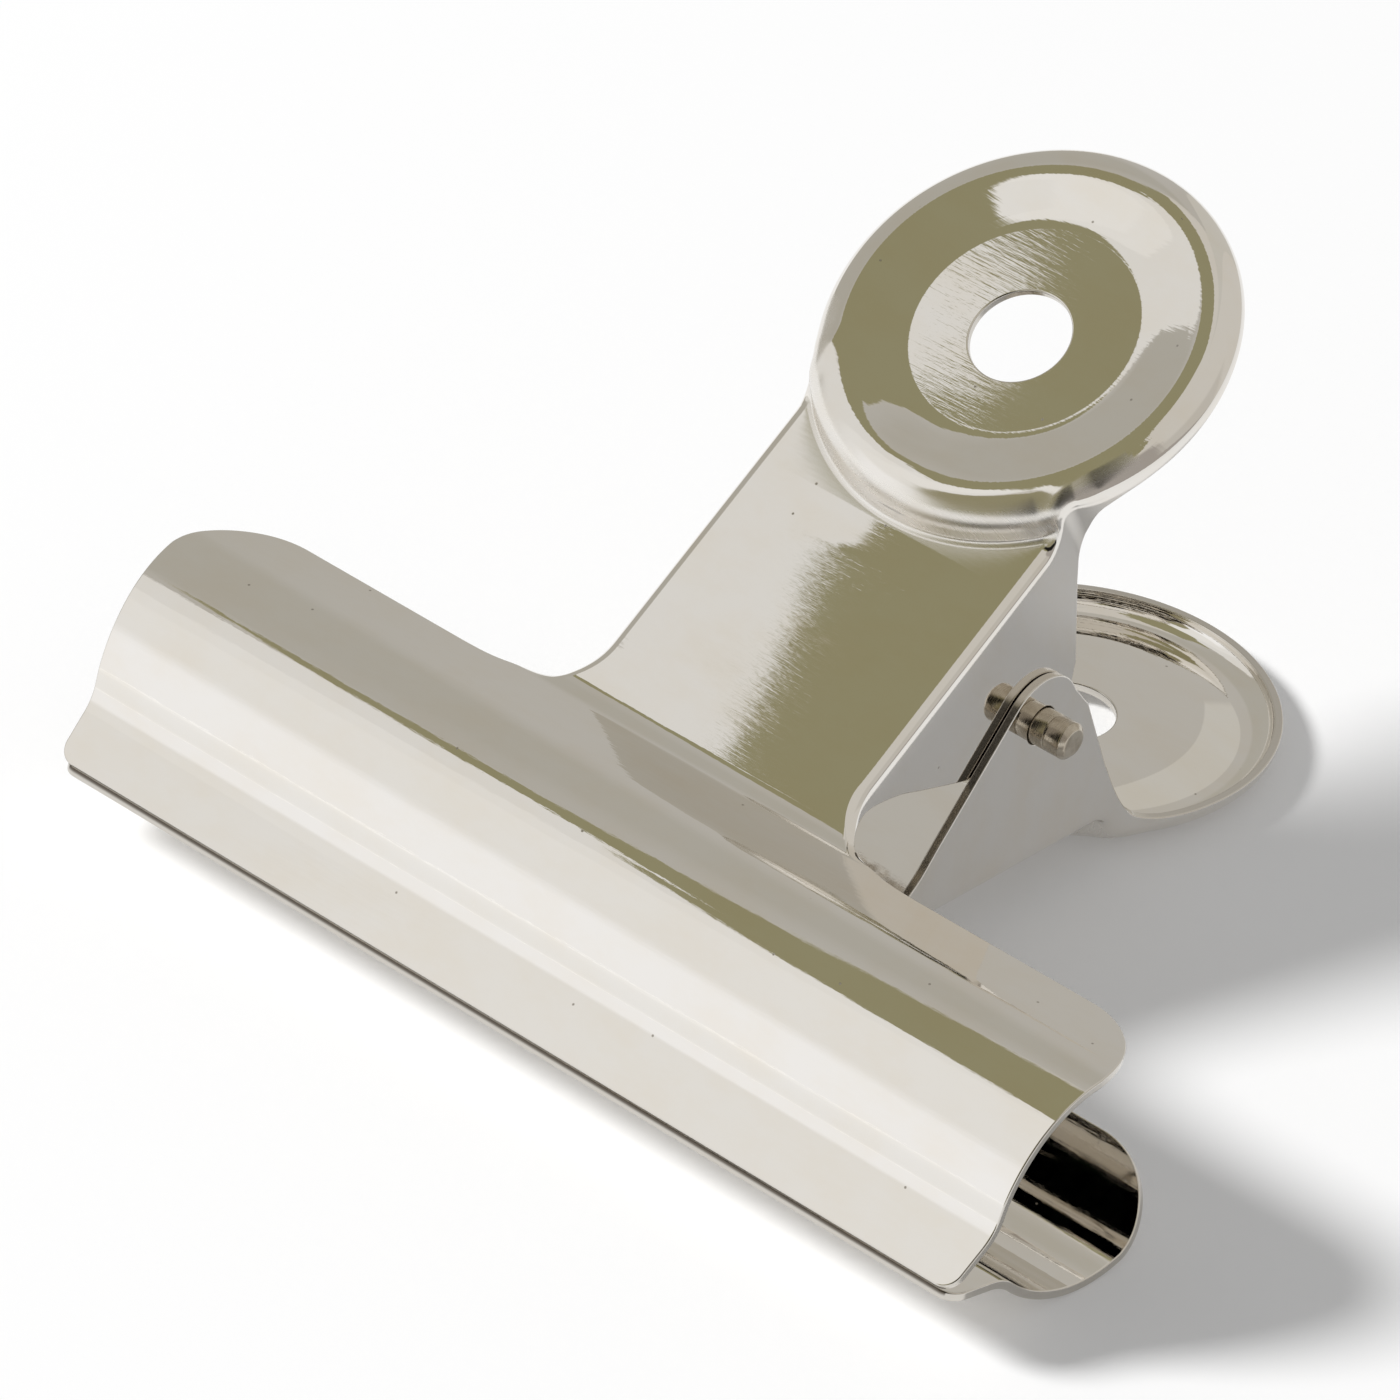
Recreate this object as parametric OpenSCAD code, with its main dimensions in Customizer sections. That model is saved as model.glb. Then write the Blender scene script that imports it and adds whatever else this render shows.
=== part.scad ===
// Bulldog clip: two identical sprung pressings that turn on one pin.
// The clip is drawn closed, lying on a table on its lower jaw and its lower thumb ring.
// Clip frame: x along the jaws, y back from the lips to the rings, z up from the plane between the jaws.
// Each pressing is drawn as the upper one and turned half a turn about y to make the lower one.

/* [Sheet] */
// Thickness of the spring steel sheet
sheet_t = 0.55; // [0.4:0.05:0.7]
// Gap left between the two lips when the clip is shut
lip_gap = 0.1; // [0.05:0.05:0.3]

/* [Jaw] */
// Length of the jaws, which is the nominal size of the clip
jaw_w = 70; // [50:1:90]
// How much narrower each jaw end is at the lip
jaw_end_taper = 1.05; // [0.5:0.05:2]
// Depth of the flat gripping lip
lip_len = 3; // [2:0.1:4]
// Slope of the lip against the plane between the jaws
lip_angle = 24; // [18:1:30]
// Radius of the bend from the lip up to the front face
lip_bend_r = 2.9; // [2:0.1:4]
// Slope of the steepest part of the front face
face_angle = 60; // [54:1:64]
// Radius of the front of the arch
arch_front_r = 9.4; // [8.6:0.1:10.2]
// Slope at which the front of the arch passes into its crown
crown_angle = 30; // [24:1:36]
// Radius of the crown of the arch
arch_crown_r = 7.5; // [6.8:0.1:8.2]
// Slope of the heel that runs down behind the crown
heel_angle = 23; // [20:1:26]
// Length of the heel from the crown to the jaw's back edge
heel_len = 3.7; // [3:0.1:4.2]
// Length of the heel from the crown to the valley at the root of the arm
valley_len = 4.85; // [4.7:0.05:5.4]
// Radius of the valley bend
valley_r = 2.5; // [1.5:0.1:3]
// Corner radius at the lip
lip_corner_r = 1.15; // [0.6:0.05:2]
// Corner radius at the back of the jaw
back_corner_r = 5.4; // [4:0.1:6]
// Fillet between the jaw's back edge and the arm
root_fillet_r = 4; // [3:0.1:4.5]

/* [Arm] */
// Width over both flanges of one arm
arm_w = 19.6; // [17:0.1:20.4]
// Slope of the arm
arm_angle = 17.6; // [15:0.2:20]
// Outer radius of the folds between the arm and its flanges
fold_r = 0.8; // [0.7:0.05:1.2]
// Play between an ear and the ear of the other pressing beside it
ear_play = 0.05; // [0.03:0.01:0.1]
// Slope of an ear's front edge
ear_front_angle = 32.3; // [28:0.5:36]
// Lean of an ear's back edge from upright
ear_back_angle = 11.2; // [8:0.2:14]
// Radius of the ear's round tip, about the pin
ear_tip_r = 3.12; // [2.4:0.02:3.6]
// Fillet between the ear's front edge and the root
ear_root_r = 4; // [2:0.1:5]
// Fillet between the ear's back edge and the thumb ring
neck_fillet_r = 2; // [1:0.1:2.4]

/* [Thumb ring] */
// Distance along the arm from the valley to the ring's centre
ring_reach = 31.15; // [29:0.1:34]
// Height of the ring's ridge over the arm, at the ring's centre
ring_lift = 2.13; // [1.9:0.05:2.6]
// Slope of the thumb ring
ring_angle = 15.65; // [14.6:0.2:17]
// Outer radius of the thumb ring
ring_r = 12.6; // [12:0.1:13.4]
// Outer radius of the ring's rolled ridge
roll_r = 1.5; // [1.3:0.05:1.8]
// Straight part of the rim under the roll
rim_len = 0.15; // [0.1:0.05:0.6]
// Depth of the dished floor below the ridge
dish_depth = 0.6; // [0.45:0.05:0.8]
// Slope of the dish's side
dish_angle = 12; // [10:0.5:16]
// Radius of the bend round the floor
dish_bend_r = 5; // [3:0.2:7]
// Radius of the hanging hole
hole_r = 3.05; // [2.4:0.05:4]
// How far the hole lies from the ring's centre, towards the jaws
hole_shift = 0.45; // [0:0.05:1]
// Steepness at which the ridge passes into the sweep down to the arm
neck_angle = 67; // [60:1:72]

/* [Pin] */
// Distance of the pin from the lips
pin_y = 35.3; // [34.5:0.1:36]
// Radius of the pin
pin_r = 1.15; // [0.9:0.05:1.3]
// Running clearance of the pin in the ears
pin_clearance = 0.05; // [0.02:0.01:0.08]
// How far the pin stands out of the outer ear
pin_stub = 2.4; // [1:0.1:3]
// Chamfer at each end of the pin
pin_chamfer = 0.3; // [0.1:0.05:0.5]

/* [Spring] */
// Thickness of the spring's wire
wire_d = 1.2; // [0.9:0.05:1.4]
// Play between the pin and the inside of the coil
coil_play = 0.5; // [0.3:0.05:0.8]
// Number of whole turns in the coil
coil_turns = 7; // [4:1:8]
// Gap between neighbouring turns
coil_gap = 0.5; // [0.45:0.05:0.7]
// Distance of a leg's heel from the ring's centre, towards the jaws
heel_back = 5; // [4:0.1:6]
// Length of the foot that lies along the ring's floor
foot_len = 3; // [2:0.1:4]
// Gap between a leg's foot and the floor that it pushes on
foot_gap = 0.1; // [0.05:0.05:0.3]

/* [Hidden] */
$fn = 96;
eps = 0.01;
// Widest turn between two points of a bend
facet_angle = 5;
// The arm's top lies this little inside the jaw's sheet where the two run together.
lap = 0.01;

// A point at a distance and a direction, in degrees.
function polar(r, a) = [r * cos(a), r * sin(a)];
// The left-hand normal of a direction.
function normal(a) = [-sin(a), cos(a)];

// Outer surface of the jaw in the y-z plane, from the lip back to the arm.
lip_tip = [-sheet_t * sin(lip_angle), lip_gap / 2 + sheet_t * cos(lip_angle)];
lip_end = lip_tip + polar(lip_len, lip_angle);
lip_bend_c = lip_end + lip_bend_r * normal(lip_angle);
face_start = lip_bend_c - lip_bend_r * normal(face_angle);
arch_front_c = face_start - arch_front_r * normal(face_angle);
crown_start = arch_front_c + arch_front_r * normal(crown_angle);
arch_crown_c = crown_start - arch_crown_r * normal(crown_angle);
heel_start = arch_crown_c + arch_crown_r * normal(-heel_angle);
valley = heel_start + polar(valley_len, -heel_angle);
back_edge = heel_start + polar(heel_len, -heel_angle);
// Centre of the valley bend, above the sheet, and the length that the bend takes from each side.
valley_setback = valley_r * tan((heel_angle + arm_angle) / 2);
valley_c = valley + polar(valley_setback, arm_angle) + valley_r * normal(arm_angle);

arm_start = valley + polar(valley_setback, arm_angle);
// The jaw's own sheet ends where its fillets have run out into the arm.
root_end = arm_start + polar((back_edge[0] + root_fillet_r - arm_start[0]) / cos(arm_angle), arm_angle);

// The flanges stand to one side by half a sheet, so that the two pressings nest.
stagger = sheet_t + ear_play;
arm_left = -(arm_w + stagger) / 2;
arm_right = (arm_w - stagger) / 2;
outboard = (arm_w + stagger) / 2;

// Thumb ring: centre of its ridge plane, and the hollow that its ridge and rim leave.
ring_c = valley + polar(ring_reach, arm_angle) + ring_lift * normal(arm_angle);
crest_r = ring_r - roll_r;
rim_h = roll_r + rim_len;
cone_top = [crest_r - roll_r * sin(dish_angle), roll_r * cos(dish_angle) - roll_r];
cone_rise = cone_top[1] + dish_depth - dish_bend_r * (1 - cos(dish_angle));
cone_start = cone_top - [cone_rise / tan(dish_angle), cone_rise];
floor_r = cone_start[0] - dish_bend_r * sin(dish_angle);

// Sweep from the ridge down to the arm: a concave arc round neck_c.
neck_start = [crest_r + roll_r * cos(90 - neck_angle), roll_r * sin(90 - neck_angle) - roll_r];
neck_drop = ring_lift + (ring_r + roll_r) * sin(arm_angle - ring_angle);
neck_r = (neck_drop + neck_start[1]) / (1 - cos(neck_angle));
neck_foot = neck_start[0] + neck_r * sin(neck_angle);
neck_c = [neck_foot, neck_r - neck_drop];

// Ear outline in the y-z plane.
pin = [pin_y, 0];
root_z = valley[1] - 0.8 * sheet_t;
front_dir = 180 - ear_front_angle;
back_dir = 90 - ear_back_angle;
front_touch = pin + ear_tip_r * normal(front_dir);
back_touch = pin - ear_tip_r * normal(back_dir);
front_top = front_touch + polar((root_z - front_touch[1]) / sin(front_dir), front_dir);
rim_line = ring_c - rim_h * normal(ring_angle);
// Height at which the line of the ear's back edge meets the line of the rim.
function cross2(a, b) = a[0] * b[1] - a[1] * b[0];
back_len = cross2(rim_line - back_touch, polar(1, ring_angle)) / cross2(polar(1, back_dir), polar(1, ring_angle));
neck_corner = back_touch + polar(back_len, back_dir);

// Resting pose: the crown of the lower jaw and the far side of the lower ring both touch the table.
ring_roll_c = ring_c + polar(crest_r, ring_angle) - roll_r * normal(ring_angle);
rest_span = ring_roll_c - arch_crown_c;
rest_tilt = atan2(rest_span[1], rest_span[0]) + asin((roll_r - arch_crown_r) / norm(rest_span));
rest_z = arch_crown_r + arch_crown_c[1] * cos(rest_tilt) - arch_crown_c[0] * sin(rest_tilt);
front_y = lip_tip[0] * cos(rest_tilt) - lip_tip[1] * sin(rest_tilt);
ring_edge_y = ring_roll_c[0] * cos(rest_tilt) + ring_roll_c[1] * sin(rest_tilt) + roll_r;
rest_y = -(front_y + ring_edge_y) / 2;

// Spring: a helix about the pin with a straight leg and a short foot at each end.
coil_r = pin_r + coil_play + wire_d / 2;
coil_pitch = wire_d + coil_gap;
coil_len = coil_turns * coil_pitch;
wire_sides = 6;
rings_per_turn = 8;
// The foot's centre line runs this far under the ring's ridge plane.
foot_depth = dish_depth + sheet_t + foot_gap + wire_d / 2;
// Distance of the arm's outer surface from the pin's axis.
arm_height = cross2(pin - valley, polar(1, arm_angle));

// Places the whole clip on the table.
module at_rest() {
    translate([0, rest_y, rest_z]) rotate([rest_tilt, 0, 0]) children();
}

// Extrudes a y-z outline along x, between two places.
module along_x(x0, x1) {
    translate([x0, 0, 0]) rotate([90, 0, 90]) linear_extrude(x1 - x0) children();
}

// Points on an arc round c, between two directions seen from it.
function arc(c, r, a0, a1) =
    let (steps = ceil(abs(a1 - a0) / facet_angle))
    [for (k = [0:steps]) c + polar(r, a0 + (a1 - a0) * k / steps)];

// One side of a bent sheet, at a depth below its outer surface, while the sheet turns from direction
// a0 to a1. The radius is negative where the centre lies on the outer side.
function bend(c, r, a0, a1, depth) = arc(c, r - depth, a0 + 90, a1 + 90);

// The whole section of a sheet, from its outer side and its inner side.
module sheet(outer, inner) {
    polygon(concat(outer, [for (k = [len(inner) - 1:-1:0]) inner[k]]));
}

// Section of the sheet from the lip to the root of the arm.
function jaw_side(depth) = concat(
    [lip_tip - depth * normal(lip_angle)],
    bend(lip_bend_c, -lip_bend_r, lip_angle, face_angle, depth),
    bend(arch_front_c, arch_front_r, face_angle, crown_angle, depth),
    bend(arch_crown_c, arch_crown_r, crown_angle, -heel_angle, depth),
    bend(valley_c, -valley_r, -heel_angle, arm_angle, depth),
    [root_end - depth * normal(arm_angle)]
);

// Plan of the jaw: tapered ends, round corners and the fillets to the arm.
module jaw_plan() {
    half = jaw_w / 2;
    back_y = back_edge[0];
    back_c = [half - back_corner_r, back_y - back_corner_r];
    taper_y = back_c[1];
    lip_x = half - jaw_end_taper;
    fillet_y = back_y + root_fillet_r;
    for (side = [0, 1]) mirror([side, 0]) {
        fold_x = (side == 1 ? -arm_left : arm_right) - fold_r / 2;
        translate(back_c) circle(back_corner_r);
        translate([lip_x - lip_corner_r, lip_tip[0] + lip_corner_r]) circle(lip_corner_r);
        polygon([
            [0, lip_tip[0]],
            [lip_x - lip_corner_r, lip_tip[0]],
            [lip_x, lip_tip[0] + lip_corner_r],
            [half, taper_y],
            back_c,
            [back_c[0], back_y],
            [0, back_y]
        ]);
        difference() {
            translate([0, back_y - eps]) square([fold_x + root_fillet_r, root_fillet_r + eps]);
            translate([fold_x + root_fillet_r, fillet_y]) circle(root_fillet_r);
        }
    }
}

module jaw() {
    top = arch_crown_c[1] + arch_crown_r + 1;
    intersection() {
        along_x(-jaw_w / 2 - 1, jaw_w / 2 + 1) sheet(jaw_side(0), jaw_side(sheet_t));
        linear_extrude(top) jaw_plan();
    }
}

// A block with its two upper corners rounded, in the x-n plane of the arm, where n is 0 at the surface.
module round_block(left, right, top, depth, r) {
    translate([left, top - depth]) square([right - left, depth - r]);
    translate([left + r, top - r - eps]) square([right - left - 2 * r, r + eps]);
    for (x = [left + r, right - r]) translate([x, top - r]) circle(r);
}

// Section of the arm: a flat top with a flange folded down at each side.
module channel_section(depth) {
    difference() {
        round_block(arm_left, arm_right, 0, depth, fold_r);
        round_block(arm_left + sheet_t, arm_right - sheet_t, -sheet_t, depth, fold_r - sheet_t);
    }
}

// The ear's outline, with everything above it: the root, the ear's front edge, its tip round the pin,
// its back edge, the neck and the rim.
module ear_outline() {
    root_bend = tan(ear_front_angle / 2) * ear_root_r;
    root_c = front_top - [root_bend, ear_root_r];
    neck_bend = tan((back_dir - ring_angle) / 2) * neck_fillet_r;
    neck_touch = neck_corner + polar(neck_bend, ring_angle);
    neck_c = neck_touch - neck_fillet_r * normal(ring_angle);
    far = ring_c + polar(3 * ring_r, ring_angle);
    high = ring_c[1] + 2 * ring_r;
    polygon(concat(
        [[arch_crown_c[0], root_z]],
        arc(root_c, ear_root_r, 90, front_dir - 90),
        arc(pin, ear_tip_r, front_dir + 90, back_dir + 270),
        arc(neck_c, neck_fillet_r, back_dir + 90, ring_angle + 90),
        [far - rim_h * normal(ring_angle), [far[0], high], [arch_crown_c[0], high]]
    ));
}

// The arm's top, its folds and its flanges, deep enough for the ears.
module channel() {
    deep = arm_height + ear_tip_r + 1;
    translate([0, arm_start[0], arm_start[1]]) rotate([arm_angle, 0, 0])
        translate([0, ring_reach, -lap]) rotate([90, 0, 0]) linear_extrude(ring_reach) channel_section(deep);
}

// Stands a shape of revolution on the thumb ring's axis.
module on_ring() {
    translate([0, ring_c[0], ring_c[1]]) rotate([ring_angle, 0, 0]) children();
}

// Section of the dished thumb ring and its rolled ridge, from the axis to the rim.
function ring_side(depth) = concat(
    [[0, -dish_depth - depth]],
    bend([floor_r, dish_bend_r - dish_depth], -dish_bend_r, 0, dish_angle, depth),
    bend([crest_r, -roll_r], roll_r, dish_angle, -90, depth)
);

// The rim's wall, as deep as the neck needs it.
module rim_wall() {
    translate([ring_r - sheet_t, -3 * roll_r]) square([sheet_t, 2 * roll_r]);
}

// Region under the sweep from the ridge to the arm, down to the arm's inner surface.
module neck_outer() {
    difference() {
        polygon([
            [ring_r - sheet_t, -neck_drop - sheet_t],
            [neck_foot, -neck_drop - sheet_t],
            [neck_foot, neck_start[1]],
            [ring_r - sheet_t, neck_start[1]]
        ]);
        translate(neck_c) circle(neck_r);
    }
}

// The hollow under that sweep.
module neck_hollow() {
    inner_top = neck_start - sheet_t * polar(1, 90 - neck_angle);
    difference() {
        polygon([
            [crest_r, -3 * neck_drop],
            [neck_foot, -3 * neck_drop],
            [neck_foot, inner_top[1]],
            inner_top,
            [crest_r, -roll_r]
        ]);
        translate(neck_c) circle(neck_r + sheet_t);
    }
}

// The arm's strip, from the jaw to the middle of the ring.
module arm_strip(inset) {
    translate([arm_left + inset, 0, -arm_height])
        cube([arm_w - 2 * inset, ring_c[0] - ring_r / 2, ring_c[1] + arm_height + ring_r]);
}

module thumb_ring() {
    on_ring() rotate_extrude() sheet(ring_side(0), ring_side(sheet_t));
    difference() {
        intersection() {
            on_ring() rotate_extrude() rim_wall();
            along_x(-jaw_w, jaw_w) ear_outline();
        }
        arm_strip(0);
    }
}

// The arm with its flanges and ears, and the sweep up to the thumb ring.
module arm() {
    difference() {
        union() {
            intersection() {
                channel();
                along_x(-jaw_w, jaw_w) ear_outline();
            }
            intersection() {
                on_ring() rotate_extrude() neck_outer();
                arm_strip(0);
            }
        }
        intersection() {
            on_ring() rotate_extrude() neck_hollow();
            arm_strip(sheet_t);
        }
        on_ring() translate([0, 0, -2 * ring_r]) cylinder(r = ring_r - sheet_t, h = 4 * ring_r);
    }
}

// One whole pressing, as the upper one.
module pressing() {
    difference() {
        union() {
            jaw();
            arm();
            thumb_ring();
        }
        on_ring() translate([0, -hole_shift, -ring_r]) cylinder(r = hole_r, h = 2 * ring_r);
        translate([0, pin_y, 0]) rotate([0, 90, 0])
            cylinder(r = pin_r + pin_clearance, h = 2 * arm_w, center = true);
    }
}

module upper_jaw() {
    color([0.78, 0.76, 0.72]) at_rest() pressing();
}

module lower_jaw() {
    color([0.74, 0.72, 0.68]) at_rest() rotate([0, 180, 0]) pressing();
}

module pivot_pin() {
    half = outboard + pin_stub;
    color([0.5, 0.45, 0.4]) at_rest() translate([-half, pin_y, 0]) rotate([0, 90, 0]) {
        translate([0, 0, pin_chamfer]) cylinder(r = pin_r, h = 2 * (half - pin_chamfer));
        cylinder(r1 = pin_r - pin_chamfer, r2 = pin_r, h = pin_chamfer);
        translate([0, 0, 2 * half - pin_chamfer])
            cylinder(r1 = pin_r, r2 = pin_r - pin_chamfer, h = pin_chamfer);
    }
}

// Centre line of the spring in the clip frame. A straight leg runs from the coil, as its tangent, to
// the heel of the foot that lies under the floor of the thumb ring.
foot_heel = ring_c - polar(heel_back, ring_angle) - foot_depth * normal(ring_angle);
heel_out = foot_heel - pin;
leg_touch = atan2(heel_out[1], heel_out[0]) - acos(coil_r / norm(heel_out));
// The coil turns from the lower leg's tangent point to the upper leg's.
coil_start = -leg_touch;
coil_sweep = 360 * coil_turns + 2 * leg_touch;
coil_steps = ceil(coil_sweep * rings_per_turn / 360);

function coil_point(k) =
    let (a = coil_start + coil_sweep * k / coil_steps, x = coil_len * (k / coil_steps - 0.5))
    [x, pin_y + coil_r * cos(a), coil_r * sin(a)];
function foot_points(side, x) = [
    for (p = [foot_heel, foot_heel + polar(foot_len, ring_angle)]) [x, p[0], side * p[1]]
];
lower_leg = foot_points(-1, -coil_len / 2);
upper_leg = foot_points(1, coil_len / 2);
spring_path = concat(
    [lower_leg[1], lower_leg[0]],
    [for (k = [0:coil_steps]) coil_point(k)],
    [upper_leg[0], upper_leg[1]]
);

function unit(v) = v / norm(v);
// Direction of a path at each of its points.
function path_dir(p, i) = unit(p[min(i + 1, len(p) - 1)] - p[max(i - 1, 0)]);
// One ring of the tube, square to the path.
function tube_ring(p, i, r, n) =
    let (d = path_dir(p, i), u = unit(cross(d, abs(d[0]) < 0.9 ? [1, 0, 0] : [0, 1, 0])), v = cross(d, u))
    [for (k = [0:n - 1]) p[i] + r * (cos(360 * k / n) * u + sin(360 * k / n) * v)];

// A closed tube along a path.
module tube(p, r, n) {
    count = len(p);
    points = [for (i = [0:count - 1]) each tube_ring(p, i, r, n)];
    sides = [
        for (i = [0:count - 2], k = [0:n - 1])
        let (a = i * n + k, b = i * n + (k + 1) % n)
        each [[a, b + n, b], [a, a + n, b + n]]
    ];
    first = [for (k = [1:n - 2]) [0, k, k + 1]];
    last = [for (k = [1:n - 2]) [(count - 1) * n, (count - 1) * n + k + 1, (count - 1) * n + k]];
    polyhedron(points, concat(sides, first, last));
}

module torsion_spring() {
    color([0.6, 0.58, 0.55]) at_rest() tube(spring_path, wire_d / 2, wire_sides);
}

// Least gap of the wire to itself, over pairs of points at least half a turn apart.
wire_gap = min([
    for (i = [0:len(spring_path) - 1], j = [i + rings_per_turn / 2:1:len(spring_path) - 1])
        norm(spring_path[i] - spring_path[j])
]) - wire_d;
echo(least_gap_of_the_wire_to_itself = wire_gap);

// Places of the interfaces once the clip lies at rest, as [y, z].
function resting(p) = [
    p[0] * cos(rest_tilt) - p[1] * sin(rest_tilt) + rest_y,
    p[0] * sin(rest_tilt) + p[1] * cos(rest_tilt) + rest_z
];
hole_c = ring_c - polar(hole_shift, ring_angle) - (dish_depth + sheet_t / 2) * normal(ring_angle);
echo(tilt = rest_tilt, pin_axis = resting(pin), lips = resting([0, 0]));
echo(upper_hole = resting(hole_c), upper_slope = ring_angle + rest_tilt);
echo(lower_hole = resting([hole_c[0], -hole_c[1]]), lower_slope = rest_tilt - ring_angle);

upper_jaw();
lower_jaw();
pivot_pin();
torsion_spring();
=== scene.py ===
"""Bulldog clip: smooth pressed-sheet meshes, nickel materials, studio and camera."""

import math

import bpy
import numpy as np
from mathutils import Matrix, Vector
from mathutils.geometry import delaunay_2d_cdt


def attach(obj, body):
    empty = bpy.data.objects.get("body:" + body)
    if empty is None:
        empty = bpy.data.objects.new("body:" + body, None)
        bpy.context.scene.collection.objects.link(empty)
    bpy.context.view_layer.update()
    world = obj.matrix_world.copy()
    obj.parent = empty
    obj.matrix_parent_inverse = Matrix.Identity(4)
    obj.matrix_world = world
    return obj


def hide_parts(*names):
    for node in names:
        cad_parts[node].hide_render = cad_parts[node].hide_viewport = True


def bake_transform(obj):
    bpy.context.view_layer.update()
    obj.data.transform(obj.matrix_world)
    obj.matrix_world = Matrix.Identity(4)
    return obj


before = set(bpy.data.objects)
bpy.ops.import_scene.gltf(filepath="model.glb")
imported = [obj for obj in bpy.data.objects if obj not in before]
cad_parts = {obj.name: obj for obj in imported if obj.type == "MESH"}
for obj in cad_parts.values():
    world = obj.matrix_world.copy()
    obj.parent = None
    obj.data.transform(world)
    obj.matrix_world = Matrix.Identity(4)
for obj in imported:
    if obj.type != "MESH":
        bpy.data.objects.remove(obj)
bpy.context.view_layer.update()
scene = bpy.context.scene

# Sizes in mm and angles in degrees, as in the CAD source
SHEET = 0.55
LIP_GAP = 0.1
LIP_LEN, LIP_ANGLE, LIP_BEND_R = 3.0, 24.0, 2.9
FACE_ANGLE, ARCH_FRONT_R, CROWN_ANGLE, ARCH_CROWN_R = 60.0, 9.4, 30.0, 7.5
HEEL_ANGLE, HEEL_LEN, VALLEY_LEN, VALLEY_R = 23.0, 3.7, 4.85, 2.5
JAW_W, JAW_TAPER, LIP_CORNER_R, BACK_CORNER_R = 70.0, 1.05, 1.15, 5.4
ARM_W, ARM_ANGLE, FOLD_R, EAR_PLAY = 19.6, 17.6, 0.8, 0.05
EAR_FRONT, EAR_TIP_R = 32.3, 3.12
RING_REACH, RING_LIFT, RING_ANGLE, RING_R = 31.15, 2.13, 15.65, 12.6
ROLL_R, DISH_DEPTH, DISH_ANGLE = 1.5, 0.6, 12.0
HOLE_R, HOLE_SHIFT = 3.05, 0.45
PIN_Y, PIN_R, PIN_HOLE_R, PIN_STUB, PIN_CHAMFER = 35.3, 1.15, 1.2, 2.4, 0.3
WIRE_D, COIL_PLAY, COIL_TURNS, COIL_GAP = 1.2, 0.5, 7, 0.5
HEEL_BACK, FOOT_LEN, FOOT_GAP = 5.0, 3.0, 0.1

# Finer forms, only here
EDGE_R = 0.1  # rounding of the sheet's cut edges
NECK_R, NECK_ANGLE, NECK_FOOT_R = 2.2, 78.0, 0.45
NECK_PLAN_R = 2.0  # plan radius where the ear runs into the ring
RIM_W = 1.85  # width of the rim's roll, which is ROLL_R high
DISH_BEND_R, CREST_BEND_R = 6.5, 4.4  # soft bends at the foot and the top of the dish's wall
ROOT_SWELL = 0.03  # height of the slow bend that leads into the root's bend
SWELL_FROM, SWELL_TOP, SWELL_TO = -4.0, -1.0, 3.8  # its start, top and end, from the arm's start
TURN_FROM, TURN_TO = 14.7, 10.7  # where the arm's direction turns into the ring's, before its centre
FOLD_FROM_Y, FOLD_FULL_Y = 17.7, 20.2  # where the folds begin and stand upright
# The folds' flare at the root
FLARE_Y, FLARE_RUN, FLARE_LIMIT, FLARE_SIZE, FLARE_POWER = 22.0, 3.7, 1.6, 2.0, 2.2
RIGHT_FADE, LEFT_FADE = (41.0, 53.0), (45.0, 57.5)  # angles from the arm's middle where the neck runs out
DISH_LEAN, DISH_TURN, HEEL_LEAN = 2.45, 4.4, 4.0  # turn of the shading normals in the dish and on the heel


def rad(a):
    return a * math.pi / 180


def sin(a):
    return math.sin(rad(a))


def cos(a):
    return math.cos(rad(a))


def tan(a):
    return math.tan(rad(a))


def polar(r, a):
    return np.array([r * cos(a), r * sin(a)])


def normal(a):
    return np.array([-sin(a), cos(a)])


def step(x, a, b):
    """Smooth step from 0 at a to 1 at b."""
    t = np.clip((np.asarray(x, float) - a) / (b - a), 0, 1)
    return t * t * (3 - 2 * t)


def angle_of(v):
    return math.degrees(math.atan2(v[1], v[0]))


def unit(v):
    return v / np.linalg.norm(v, axis=-1, keepdims=True)


# The section of the pressing, in the clip's own y and z
lip_tip = np.array([-SHEET * sin(LIP_ANGLE), LIP_GAP / 2 + SHEET * cos(LIP_ANGLE)])
lip_end = lip_tip + polar(LIP_LEN, LIP_ANGLE)
lip_bend_c = lip_end + LIP_BEND_R * normal(LIP_ANGLE)
face_start = lip_bend_c - LIP_BEND_R * normal(FACE_ANGLE)
front_c = face_start - ARCH_FRONT_R * normal(FACE_ANGLE)
crown_start = front_c + ARCH_FRONT_R * normal(CROWN_ANGLE)
crown_c = crown_start - ARCH_CROWN_R * normal(CROWN_ANGLE)
heel_start = crown_c + ARCH_CROWN_R * normal(-HEEL_ANGLE)
valley = heel_start + polar(VALLEY_LEN, -HEEL_ANGLE)
back_edge = heel_start + polar(HEEL_LEN, -HEEL_ANGLE)
setback = VALLEY_R * tan((HEEL_ANGLE + ARM_ANGLE) / 2)
valley_c = valley + polar(setback, ARM_ANGLE) + VALLEY_R * normal(ARM_ANGLE)
arm_start = valley + polar(setback, ARM_ANGLE)
stagger = SHEET + EAR_PLAY
ARM_LEFT, ARM_RIGHT = (ARM_W + stagger) / 2, (ARM_W - stagger) / 2
pin_c = np.array([PIN_Y, 0.0])
ring_c = valley + polar(RING_REACH, ARM_ANGLE) + RING_LIFT * normal(ARM_ANGLE)
ring_roll_c = ring_c + polar(RING_R - ROLL_R, RING_ANGLE) - ROLL_R * normal(RING_ANGLE)

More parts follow.
